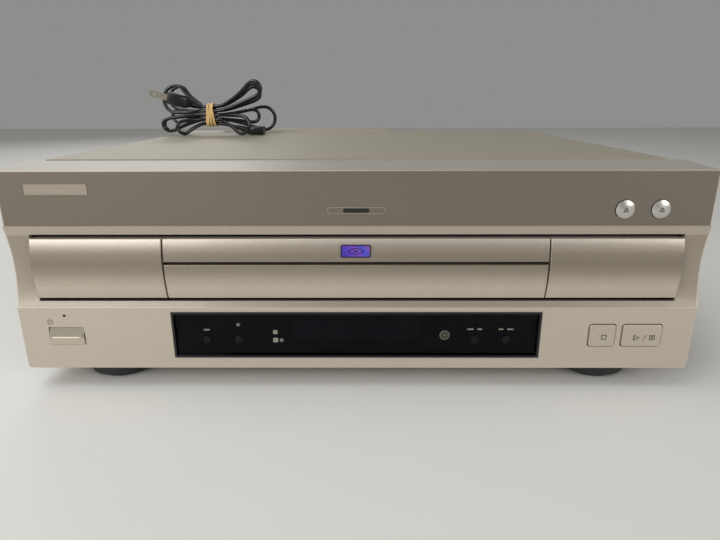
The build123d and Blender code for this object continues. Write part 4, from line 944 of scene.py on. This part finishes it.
@dataclass
class FrontPanel:
    """Painted panel, its trim, its printed symbol and the standby lamp; sizes in millimetres."""

    print_y: float = -190.22
    power_mark: Mark = Mark(Symbol.POWER, 3.4, 0.4, -191.2, 45.6)
    lamp: Place = (-181.8, -190.2, 49.8)
    lamp_profile: tuple = ((0.0, -0.5), (0.75, -0.5), (0.75, 0.05), (0.5, 0.25), (0.0, 0.32))
    lamp_points: int = 20

    def build(self) -> None:
        """Dress the panel, print its symbol and set the lamp's dome in."""
        # the panel's lacquer carries painted shade and light in bands by height
        dress(Finishes.PANEL, "front_panel")
        dress(Finishes.TRIM, "fascia_trim")
        dress(Finishes.GLOSS_BLACK, "sensor_window")
        print_marks("panel_marks", "chassis", Finishes.GREY_INK, self.print_y, [self.power_mark])
        bm = bmesh.new()
        lathe(bm, self.lamp_profile, Vector(self.lamp) * MM, -BACK, self.lamp_points)
        add_piece("standby_lens", bm, Finishes.GLOSS_BLACK, "chassis", "button_black")


@dataclass
class Display:
    """Smoked window with the fluorescent tube behind it; sizes in millimetres."""

    print_y: float = -188.72
    mask_y: float = -186.0
    mask_z: float = 36.75
    mask_size: Box = (226.0, 26.6, 0.8)
    mask_opening: Box = (84.0, 17.5, 0.8)
    button_holes: tuple[float, ...] = (-94.2, -74.0, 74.8, 94.3)
    hole_radius: float = 3.6
    hole_z: float = 33.1
    tube_z: float = 38.5
    grid_y: float = -179.6
    grid_size: Box = (82.0, 17.0, 0.5)
    cells_y: float = -180.0
    figures: tuple[float, ...] = (-24.0, -16.0, -8.0, 0.0, 8.0, 16.0, 24.0)
    bar_size: tuple[float, float] = (2.6, 0.8)
    left_bars: tuple[float, ...] = (-5.0, -1.5, 2.0, 5.5)
    right_bars: tuple[float, ...] = (-5.5, -3.0, -0.5, 2.0, 4.5)
    marks: tuple[Mark, ...] = (
        Mark(Symbol.TURN_OVER, 1.5, 0.3, -94.2, 39.7),
        Mark(Symbol.DIM, 2.2, 0.28, -74.0, 43.2),
        Mark(Symbol.SKIP_BACK, 1.5, 0.3, 74.2, 40.1),
        Mark(Symbol.SKIP_FORWARD, 1.5, 0.3, 94.2, 40.1),
        Mark(Symbol.STOP, 2.6, 0.9, -51.0, 38.1),
        Mark(Symbol.STOP, 3.0, 1.1, -51.0, 32.6),
        Mark(Symbol.PAUSE, 2.0, 0.3, -47.2, 32.6),
        Mark(Symbol.DISC, 6.0, 0.3, 55.7, 36.0),
    )

    def build(self) -> None:
        """Dress the window, and build the tube's inside and the marks on the glass."""
        dress(Finishes.SMOKED, "display_window")
        dress(Finishes.GLOSS_BLACK, "display_frame")
        dress(Finishes.TUBE_GLASS, "fluorescent_display")
        # the front boards are painted black as shade, where they show through the window and gaps
        dress(Finishes.BOARD_IN_PAINTED_SHADE, "front_boards")
        self.mask()
        self.cells()
        print_marks("window_marks", "chassis", Finishes.PALE_INK, self.print_y, self.marks)

    def mask(self) -> None:
        """A dark frame behind the window, with an opening for the tube and holes for the buttons."""
        holes = [arc(self.hole_radius, 0, 350, 35, x, self.hole_z - self.mask_z) for x in self.button_holes]
        mesh = flat_mesh("window_mask", [rounded(*self.mask_size), rounded(*self.mask_opening), *holes], 0.4,
                         facing(0.0, self.mask_y, self.mask_z))
        add_piece("window_mask", mesh, Finishes.BLACK, "chassis", "black_plastic")

    def cells(self) -> None:
        """The dark grid and the unlit segments inside the tube."""
        grid = flat_mesh("display_grid", [rounded(*self.grid_size)], 0.3, facing(0.0, self.grid_y, self.tube_z))
        add_piece("display_grid", grid, Finishes.ANODE, "chassis", "button_black")
        loops = [segment for x in self.figures for segment in self.figure(x)]
        loops += [bar(-34.0, y, 5.0, 1.4) for y in self.left_bars]
        loops += [bar(34.5, y, 4.0, 1.0) for y in self.right_bars]
        cells = flat_mesh("display_segments", loops, 0.2, facing(0.0, self.cells_y, self.tube_z))
        add_piece("display_segments", cells, Finishes.PHOSPHOR, "chassis", "button_black")

    def figure(self, x: float) -> list[Outline]:
        """Seven slim segments of one figure.

        Args:
            x: Its middle.

        Returns:
            Their outlines.
        """
        wide, thin = self.bar_size
        across = [bar(x, step * 4.3, wide, thin) for step in (-1, 0, 1)]
        return across + [bar(x + side * 2.0, step * 2.15, thin, 3.2) for side in (-1, 1) for step in (-1, 1)]


@dataclass
class Buttons:
    """Push buttons with their symbols; sizes in millimetres."""

    key_print_y: float = -191.42
    dome_print_y: float = -189.75
    stop_marks: tuple[Mark, ...] = (Mark(Symbol.STOP, 3.3, 0.5, 154.6, 35.8),)
    play_marks: tuple[Mark, ...] = (
        Mark(Symbol.PLAY, 4.0, 0.5, 175.0, 35.5),
        Mark(Symbol.SLASH, 3.6, 0.45, 180.0, 35.5),
        Mark(Symbol.PAUSE, 3.4, 0.45, 184.6, 35.5),
    )
    dvd_open_marks: tuple[Mark, ...] = (Mark(Symbol.EJECT, 3.0, 0.3, 158.0, 116.0),)
    ld_open_marks: tuple[Mark, ...] = (Mark(Symbol.EJECT, 3.0, 0.3, 178.9, 116.1),)
    ridge_ends: tuple[float, float] = (-190.6, -173.6)
    ridge_place: tuple[float, float] = (-191.45, 35.55)      # Y and Z
    ridge_size: Box = (0.5, 0.8, 0.2)

    def build(self) -> None:
        """Dress the buttons, print on their caps and lay the painted highlight on the ridge."""
        dress(Finishes.BUTTON, "stop_button", "play_button")
        # the power button's darker top is painted shade
        dress(Finishes.POWER, "power_button")
        dress(Finishes.SILVER_CAP, "dvd_open_button", "ld_open_button")
        dress(Finishes.BUTTON_BLACK, "side_button", "dimmer_button", "skip_back_button", "skip_forward_button")
        for name, y, marks in (("stop", self.key_print_y, self.stop_marks), ("play", self.key_print_y, self.play_marks),
                               ("dvd_open", self.dome_print_y, self.dvd_open_marks),
                               ("ld_open", self.dome_print_y, self.ld_open_marks)):
            print_marks(f"{name}_mark", f"{name}_button", Finishes.GREY_INK, y, marks)
        self.ridge()

    def ridge(self) -> None:
        """A painted highlight: a bright line along the power button's raised edge."""
        depth, height, corner = (size * MM for size in self.ridge_size)
        bm = bmesh.new()
        add_loft(bm, [soft_ring(Vector((x, *self.ridge_place)) * MM, BACK, UP, depth, height, corner)
                      for x in self.ridge_ends])
        add_piece("power_ridge_highlight", bm, Finishes.RIDGE_HIGHLIGHT, "power_button", "button_paint")


@dataclass
class TrayDoor:
    """The four door pieces and the badge; sizes in millimetres."""

    badge: Place = (0.0, -191.82, 91.6)
    border_outer: Box = (18.0, 7.9, 1.0)
    border_inner: Box = (16.6, 6.5, 0.7)
    disc_halves: tuple[tuple[float, float], ...] = ((4.6, 1.9), (3.9, 1.4), (1.2, 0.5))

    def build(self) -> None:
        """Dress the doors, frame the badge and draw a plain disc on it."""
        # the doors' lacquer carries painted reflections
        dress(Finishes.DOOR, "tray_cap_left", "tray_cap_right", "tray_lower_band", "dvd_tray_front")
        dress(Finishes.FILM, "disc_badge")
        place = facing(*self.badge)
        border = flat_mesh("badge_border", [rounded(*self.border_outer), rounded(*self.border_inner)], 0.16, place)
        add_piece("badge_border", border, Finishes.GLOSS_BLACK, "dvd_tray", "badge")
        rings = [[(half * x, tall * y) for x, y in arc(1.0, 0, 350, 35)] for half, tall in self.disc_halves]
        add_piece("badge_disc", flat_mesh("badge_disc", rings, 0.1, place), Finishes.DARK_INK, "dvd_tray", "badge")


# ---------------------------------------------------------------- case and rear

@dataclass
class Case:
    """Cover, chassis, rear plate, feet and screws; sizes in millimetres."""

    rear_screws: tuple = ((-190.0, 30.0), (190.0, 30.0), (-190.0, 128.0), (190.0, 128.0), (26.0, 57.0), (138.5, 57.0))
    side_screws: tuple = ((-1, -120.0), (-1, 165.0), (1, -120.0), (1, 165.0))
    rear_y: float = 184.4
    cover_half: float = 201.5
    side_z: float = 40.0
    rear_radius: float = 3.4
    side_radius: float = 4.0
    rise: float = 1.8            # height of a head
    washer: tuple = ((0.0, 0.0), (5.7, 0.0), (6.0, 0.25), (5.7, 0.8), (0.0, 0.8))
    washer_thickness: float = 0.8
    dome: tuple = ((1.0, 0.0), (1.0, 0.45), (0.93, 0.75), (0.78, 0.93), (0.6, 1.0))   # shares of radius and rise
    recess: tuple = ((1.0, 0.56, 0.17), (0.35, 0.36, 0.10))     # shares: height, reach of an arm and of a waist
    points: int = 48

    def build(self) -> None:
        """Dress the shells and put detailed screws in."""
        for finish, node in ((Finishes.COVER, "top_cover"), (Finishes.ZINC, "bottom_chassis"),
                             (Finishes.REAR, "rear_panel"), (Finishes.FOOT, "feet"), (Finishes.PAD, "foot_pads")):
            dress(finish, node)
        self.screws()

    def screws(self) -> None:
        """Domed heads with a cross recess; those at the sides have wide washers."""
        heads, washers = bmesh.new(), bmesh.new()
        for x, z in self.rear_screws:
            self.head(heads, Vector((x, self.rear_y, z)) * MM, BACK, self.rear_radius)
        for side, y in self.side_screws:
            base, way = Vector((side * self.cover_half, y, self.side_z)) * MM, RIGHT * side
            lathe(washers, self.washer, base, way)
            self.head(heads, base + way * self.washer_thickness * MM, way, self.side_radius)
        add_piece("screw_heads", heads, Finishes.SCREW, "chassis", "screw_steel", "case_screws")
        add_piece("screw_washers", washers, Finishes.WASHER, "chassis", "screw_steel")

    def head(self, bm: Shape, base: Vector, way: Vector, radius: float) -> None:
        """One domed head, whose top rings dip into a four-armed recess.

        Args:
            bm: The bmesh to add to.
            base: Where the head stands, in metres.
            way: The way it faces.
            radius: Its radius in millimetres.
        """
        side = way.orthogonal().normalized()
        up = way.cross(side)
        rings = [circle_ring(base + way * (height * self.rise * MM), side, up, radius * share * MM, self.points)
                 for share, height in self.dome]
        for depth, arm, waist in self.recess:
            centre, star = base + way * (depth * self.rise * MM), []
            for step in range(self.points):
                angle = 2 * math.pi * step / self.points
                reach = waist + (arm - waist) * abs(math.cos(2 * angle)) ** 6
                star.append(centre + (side * math.cos(angle) + up * math.sin(angle)) * (reach * radius * MM))
            rings.append(star)
        add_loft(bm, rings)


@dataclass
class RearSockets:
    """Sockets of the rear plate, with rings in the usual colours; sizes in millimetres."""

    plate_y: float = 184.4
    reach: float = 8.0           # from the plate to a barrel's tip
    columns: tuple = ((66.0, "#c8b01e"), (86.0, "#d6d4cc"), (106.0, "#a82018"), (128.0, "#c4661a"))
    rows: tuple[float, float] = (68.0, 46.0)
    ring: tuple = ((4.0, 0.0), (6.4, 0.0), (6.4, 0.9), (6.0, 1.3), (4.6, 1.3), (4.2, 0.9))
    frames: tuple = ((42.0, 57.0, 20.0, 46.0), (66.0, 57.0, 18.0, 46.0), (96.0, 57.0, 38.0, 46.0),
                     (134.0, 57.0, 34.0, 46.0), (4.0, 46.0, 32.0, 16.0))      # X, Z, width, height
    frame_corner: float = 1.5
    frame_line: float = 0.35

    def build(self) -> None:
        """Dress the black sockets, build the phono sockets and print the frames."""
        dress(Finishes.BLACK, "mains_inlet", "signal_sockets")
        barrels, cores = bmesh.new(), bmesh.new()
        for number, (x, code) in enumerate(self.columns, 1):
            rings = bmesh.new()
            for z in self.rows:
                self.phono(rings, barrels, cores, Vector((x, self.plate_y, z)) * MM)
            add_piece(f"socket_rings_{number}", rings, MouldedPlastic(f"socket_ring_plastic_{number}", code, 0.4),
                      "chassis", "jack_plastic")
        add_piece("phono_barrels", barrels, Finishes.BLADE, "chassis", "jack_plastic", "phono_jacks")
        add_piece("phono_cores", cores, Finishes.ACETAL, "chassis", "jack_plastic")
        self.print_frames()

    def phono(self, rings: Shape, barrels: Shape, cores: Shape, base: Vector) -> None:
        """One phono socket.

        Args:
            rings: Takes its coloured ring.
            barrels: Takes its plated barrel.
            cores: Takes the barrel's hollow core.
            base: Where it stands on the plate, in metres.
        """
        tip = self.reach
        barrel = ((4.15, 0.0), (4.15, tip - 0.4), (3.8, tip), (3.3, tip), (3.1, tip - 0.4), (3.1, 0.0))
        core = ((3.1, 0.0), (3.1, tip - 0.9), (2.9, tip - 0.7), (1.9, tip - 0.7), (1.7, tip - 1.0), (1.7, 0.0))
        for bm, profile in ((rings, self.ring), (barrels, barrel), (cores, core)):
            lathe(bm, profile, base, BACK)

    def print_frames(self) -> None:
        """Thin printed frames round the groups of sockets."""
        corner, line = self.frame_corner, self.frame_line
        parts = [([rounded(width, height, corner), rounded(width - 2 * line, height - 2 * line, corner - 0.3)],
                  facing(x, self.plate_y + 0.02, z, rear=True)) for x, z, width, height in self.frames]
        add_piece("rear_print", plates(parts, 0.06), Finishes.DARK_INK, "chassis", "button_black")


# ---------------------------------------------------------------- trays and drive

@dataclass
class Mechanism:
    """Trays, loading gear, drive and clamp; sizes in millimetres."""

    spindle_y: float = -18.0
    turntable_z: float = 78.5
    turntable_ring: tuple = ((17.6, -0.05), (20.2, -0.05), (20.2, 0.2), (19.9, 0.3), (17.9, 0.3), (17.6, 0.2))
    lens_place: Place = (0.0, 9.0, 74.0)
    lens_half: tuple[float, float] = (2.6, 0.8)       # radius and rise
    pad_angles: tuple[float, ...] = (35.0, 145.0, 215.0, 325.0)
    pad_circle: float = 143.0
    pad_z: float = 89.4
    pad: tuple = ((0.0, -0.1), (3.5, -0.1), (3.5, 0.3), (3.2, 0.45), (0.0, 0.45))

    def build(self) -> None:
        """Dress the mechanism and add its small parts."""
        dress(Finishes.TRAY, "ld_tray", "tray_channel", "tray_rack", "dvd_tray")
        dress(Finishes.MECHANISM, "tray_guides", "clamper", "turntable")
        dress(Finishes.MOTOR, "loading_motor", "drive_motors")
        dress(Finishes.ACETAL, "loading_gear", "motor_pulley", "lift_cam")
        dress(Finishes.BELT, "loading_belt")
        dress(Finishes.ZINC, "drive_base", "lift_posts", "clamp_bridge", "clamp_arm")
        dress(Finishes.ALLOY, "pickup_carriage")
        dress(Finishes.BLACK, "lens_holder")
        dress(Finishes.SHAFT, "guide_rails", "feed_screw")
        self.small_parts()

    def small_parts(self) -> None:
        """The turntable's rubber ring, the convex lens, and felt pads on the floor of the large recess."""
        ring, lens, pads = bmesh.new(), bmesh.new(), bmesh.new()
        lathe(ring, self.turntable_ring, Vector((0.0, self.spindle_y, self.turntable_z)) * MM, UP, 64)
        radius, rise = self.lens_half
        dome = [(radius * x, rise * y) for x, y in arc(1.0, 0, 90, 6)]
        lathe(lens, [(0.0, -0.2), *dome], Vector(self.lens_place) * MM, UP, 32)
        for angle in self.pad_angles:
            x, y = (self.pad_circle * part(math.radians(angle)) for part in (math.cos, math.sin))
            lathe(pads, self.pad, Vector((x, self.spindle_y + y, self.pad_z)) * MM, UP, 28)
        add_piece("turntable_pad", ring, Finishes.FELT, "turntable", "foot_rubber")
        add_piece("pickup_lens", lens, Finishes.LENS, "lens", "smoked_acrylic")
        add_piece("tray_pads", pads, Finishes.FELT, "ld_tray", "foot_rubber")


class Electronics:
    """Boards and what stands on them."""

    def build(self) -> None:
        """Dress the electronics."""
        for finish, node in ((Finishes.BOARD, "circuit_boards"), (Finishes.PART, "board_parts"),
                             (Finishes.SINK, "heat_sink"), (Finishes.IRON, "transformer"),
                             (Finishes.RIBBON, "flat_cables")):
            dress(finish, node)


# ---------------------------------------------------------------- mains lead

@dataclass(frozen=True)
class Loop:
    """One loop of the hank, from one strand of the waist round to the next; sizes in millimetres."""

    side: int                    # +1 to the right of the waist, -1 to the left
    start: tuple[int, int]       # row and column of the strand that comes in
    end: tuple[int, int]         # row and column of the strand that goes back
    reach: float                 # from the waist to the middle of the rounded tip
    rise: float                  # how far that middle lies above the strands
    radius: float                # half the width of the tip
    fan: float                   # how far the tip leans to the rear


@dataclass(frozen=True)
class Moulding:
    """A ribbed relief that bends from the cord into a moulded body; sizes in millimetres."""

    neck: Place                  # where the body starts
    face: Place                  # where the body ends
    relief: float                # half width of the relief at the neck
    size: tuple[float, float]    # width and height of the body
    swell: float                 # length over which the body reaches its full size
    cord_relief: float = 2.3     # half width of the relief at the cord
    ribs: int = 6
    groove: float = 0.78         # share of the relief's width between two ribs

    def shape(self, start: Vector, arrival: Vector) -> Shape:
        """The relief and the body as one skin.

        Args:
            start: End of the cord.
            arrival: Direction of the cord there.

        Returns:
            The bmesh, in metres.
        """
        neck, face = Vector(self.neck), Vector(self.face)
        axis = (face - neck).normalized()
        bend = start + arrival * (neck - start).length * 0.4
        rings = []
        steps = self.ribs * 4
        for step in range(steps + 1):
            share = step / steps
            centre = start * (1 - share) ** 2 + bend * (2 * share * (1 - share)) + neck * share ** 2
            groove = self.groove if step % 4 in (1, 2) and 0 < step < steps - 2 else 1.0
            radius = (self.cord_relief + (self.relief - self.cord_relief) * share) * groove
            rings.append(self.section(centre, arrival.lerp(axis, share).normalized(), 2 * radius, 2 * radius,
                                      0.95 * radius))
        length = (face - neck).length
        for distance, share in ((0.0, 0.62), (0.8, 0.76), (self.swell * 0.5, 0.93), (self.swell, 1.0),
                                (length - 0.7, 1.0), (length - 0.15, 0.965), (length, 0.92)):
            width, height = self.size[0] * share, self.size[1] * share
            rings.append(self.section(neck + axis * distance, axis, width, height, 0.3 * height))
        bm = bmesh.new()
        add_loft(bm, rings)
        return bm

    def section(self, centre: Vector, way: Vector, width: float, height: float, corner: float) -> Ring:
        """A rounded section across a direction, given in millimetres and made in metres."""
        side = UP.cross(way).normalized()
        return soft_ring(centre * MM, side, way.cross(side), width * MM, height * MM, corner * MM)


@dataclass
class MainsLead:
    """The detachable lead, tied in a hank on the cover; sizes in millimetres, but its length in metres."""

    diameter: float = 3.6
    length: float = 1.442
    waist: Place = (-155.5, 97.0, 157.8)          # middle of the waist, at its lowest full row
    waist_half: float = 9.0
    row_step: float = 4.2
    column_step: float = 4.6
    leg_shares: tuple[float, float] = (0.3, 0.66)
    leg_spread: float = 1.25
    leg_bend: float = 1.3
    tip_turn: float = 52.0                        # degrees between the corners round a tip
    plug_strand: tuple[int, int] = (3, 0)
    connector_strand: tuple[int, int] = (-1, 1)
    connector_end: Place = (-130.0, 96.1, 149.6)
    blade_spacing: float = 12.7
    blade_length: float = 17.0
    blade_half: float = 3.15
    blade_thickness: float = 1.5
    band_loops: tuple = ((-3.1, 5.0, 0.0), (-1.1, 10.0, 0.5), (0.9, 3.0, 0.1), (3.0, -6.0, 0.4))   # shift, lean, grow
    band_section: Box = (2.0, 1.2, 0.5)
    band_gap: float = 1.9                         # how much wider than the strands the band is
    band_corner: float = 4.2
    band_bulge: float = 1.3
    plug_moulding: Moulding = Moulding((-176.0, 88.6, 174.0), (-197.0, 81.6, 179.8), 4.3, (18.0, 12.5), 6.0)
    connector_moulding: Moulding = Moulding((-121.0, 95.5, 146.6), (-101.0, 94.5, 146.0), 3.6, (13.6, 8.4), 4.0)
    loops: tuple[Loop, ...] = (
        Loop(1, (3, 0), (2, 0), 38.0, 20.0, 7.5, -8.0),
        Loop(-1, (2, 0), (3, 1), 27.5, 9.0, 14.5, 6.0),
        Loop(1, (3, 1), (2, 1), 36.0, 18.0, 7.0, -2.0),
        Loop(-1, (2, 1), (3, 2), 27.0, 10.5, 12.0, 12.0),
        Loop(1, (3, 2), (2, 2), 34.0, 15.0, 7.0, 5.0),
        Loop(-1, (2, 2), (1, 2), 34.0, -4.0, 6.5, 18.0),
        Loop(1, (1, 2), (0, 2), 41.0, -2.0, 12.5, 20.0),
        Loop(-1, (0, 2), (1, 1), 38.0, -8.0, 6.5, 3.0),
        Loop(1, (1, 1), (0, 1), 33.0, 1.0, 6.5, 5.0),
        Loop(-1, (0, 1), (1, 0), 35.0, -7.5, 6.5, -6.0),
        Loop(1, (1, 0), (0, 0), 25.0, -7.0, 9.0, -19.0),
        Loop(-1, (0, 0), (-1, 1), 18.0, -5.6, 6.5, -13.0),
    )

    def build(self) -> None:
        cord = self.cord()
        plug = self.plug()
        connector = self.connector()
        band = self.band()
        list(self.blades())

    def strand(self, place: tuple[int, int], side: int) -> Place:
        """Where a strand leaves the waist.

        Args:
            place: Its row and column.
            side: +1 on the right, -1 on the left.

        Returns:
            The point.
        """
        row, column = place
        x, y, z = self.waist
        return x + side * self.waist_half, y + (column - 1) * self.column_step, z + row * self.row_step

    def loop_points(self, loop: Loop) -> list[Place]:
        """The corners of one loop's path: out along a leg, round the tip and back.

        Args:
            loop: The loop.

        Returns:
            Its corners.
        """
        first, last = self.strand(loop.start, loop.side), self.strand(loop.end, loop.side)
        middle_z = (first[2] + last[2]) / 2
        above = 1.0 if first[2] > last[2] else -1.0
        lean = math.degrees(math.atan2(self.leg_bend * loop.rise, loop.reach))
        corner = loop.radius / math.cos(math.radians(self.tip_turn / 2))
        half = self.row_step / 2

        def leg(share: float, edge: float) -> tuple[float, float]:
            """A corner on one leg: how far out and how far up."""
            width = half + (loop.radius - half) * share ** self.leg_spread
            return (loop.reach * share, loop.rise * share ** self.leg_bend + edge * width)

        flat = [leg(share, above) for share in self.leg_shares]
        for turns in (1.5, 0.5, -0.5, -1.5):
            angle = math.radians(lean + above * turns * self.tip_turn)
            flat.append((loop.reach + corner * math.cos(angle), loop.rise + corner * math.sin(angle)))
        flat += [leg(share, -above) for share in reversed(self.leg_shares)]
        points = []
        for index, (out, up) in enumerate(flat):
            along = (index + 1) / (len(flat) + 1)
            y = first[1] + (last[1] - first[1]) * along + loop.fan * math.sin(math.pi * along)
            points.append((first[0] + loop.side * out, y, middle_z + up))
        return points

    def route(self) -> list[Place]:
        """Every corner of the lead's path.

        Returns:
            The corners, from the plug through the loops to the connector.
        """
        points = [self.strand(self.plug_strand, -1)]
        for loop in self.loops:
            points.append(self.strand(loop.start, loop.side))
            points += self.loop_points(loop)
            points.append(self.strand(loop.end, loop.side))
        return points + [self.strand(self.connector_strand, 1), self.connector_end]

    def cord(self) -> Piece:
        """The sheathed cord as one smooth curve.

        Returns:
            The cord.
        """
        curve = bpy.data.curves.new("mains_cord", "CURVE")
        curve.dimensions = "3D"
        curve.bevel_depth = self.diameter * MM / 2
        curve.bevel_resolution = 6
        curve.resolution_u = 8
        curve.use_fill_caps = True
        spline = curve.splines.new("NURBS")
        points = self.route()
        spline.points.add(len(points) - 1)
        for point, place in zip(spline.points, points):
            point.co = (*(value * MM for value in place), 1.0)
        spline.order_u = 3
        spline.use_endpoint_u = True
        curve.materials.append(Finishes.VINYL.material())
        return settle(add_object("mains_cord", curve), "chassis", "cord_vinyl", "cord_hank")

    def plug(self) -> Piece:
        """The moulded plug."""
        shape = self.plug_moulding.shape(Vector(self.strand(self.plug_strand, -1)), -RIGHT)
        return add_piece("plug_body", shape, Finishes.PLUG, "chassis", "plug_vinyl", "mains_plug", crease=40.0)

    def blades(self) -> list[Piece]:
        """Two flat blades with bevelled tips and a hole near each tip.

        Returns:
            The blades.
        """
        face, neck = Vector(self.plug_moulding.face), Vector(self.plug_moulding.neck)
        axis = (face - neck).normalized()
        side = UP.cross(axis).normalized()
        up = axis.cross(side)
        turn = Matrix((axis, up, axis.cross(up))).transposed().to_4x4()
        length, half = self.blade_length, self.blade_half
        outline = [(-1.0, -half), (length - 2.0, -half), (length, -half + 1.6), (length, half - 1.6),
                   (length - 2.0, half), (-1.0, half)]
        hole = arc(1.5, 0, 345, 23, length - 4.5, 0.0)
        made = []
        for number, way in ((1, -0.5), (2, 0.5)):
            place = Matrix.Translation((face + side * way * self.blade_spacing) * MM) @ turn
            mesh = flat_mesh("plug_blade", [outline, hole], self.blade_thickness, place)
            made.append(add_piece(f"plug_blade_{number}", mesh, Finishes.BLADE, "chassis", "bright_steel"))
        return made

    def connector(self) -> Piece:
        """The figure-of-eight connector.

        Returns:
            The connector.
        """
        start = Vector(self.connector_end)
        arrival = (start - Vector(self.strand(self.connector_strand, 1))).normalized()
        shape = self.connector_moulding.shape(start, arrival)
        return add_piece("connector_body", shape, Finishes.PLUG, "chassis", "plug_vinyl", "cord_connector",
                         crease=40.0)

    def band(self) -> Piece:
        """One rubber band, wound round the waist four times.

        Returns:
            The band.
        """
        depth = 2 * self.column_step + self.diameter + self.band_gap
        height = 4 * self.row_step + self.diameter + self.band_gap
        x, y, z = self.waist
        sizes = [size * MM for size in self.band_section]
        bm = bmesh.new()
        for shift, lean, grow in self.band_loops:
            turn = Matrix.Rotation(math.radians(lean), 3, "Y")
            middle, along = Vector((x + shift, y, z + self.row_step)), turn @ RIGHT
            path = [turn @ Vector((-self.band_bulge * math.cos(math.pi * v / height), u, v))
                    for u, v in rounded(depth + grow, height + grow, self.band_corner, 8)]
            rings = []
            for index, point in enumerate(path):
                ahead = (path[(index + 1) % len(path)] - path[index - 1]).normalized()
                rings.append(soft_ring((middle + point) * MM, along, ahead.cross(along).normalized(), *sizes))
            add_loft(bm, rings, closed=True)
        return add_piece("tie_band", bm, Finishes.BAND, "chassis", "tan_rubber", "rubber_band", crease=50.0)


# ---------------------------------------------------------------- whole


def main() -> None:
    """Build the studio and the player, assembly by assembly."""
    logging.basicConfig(level=logging.INFO, format="%(name)s: %(message)s")
    bpy.context.scene.view_settings.view_transform = "Standard"
    for part in (Studio(), MainsLead(), FrontPanel(), Display(), Buttons(), TrayDoor(), Case(), RearSockets(),
                 Mechanism(), Electronics()):
        part.build()
        LOG.info("%s done", type(part).__name__)


if __name__ == "__main__":
    main()
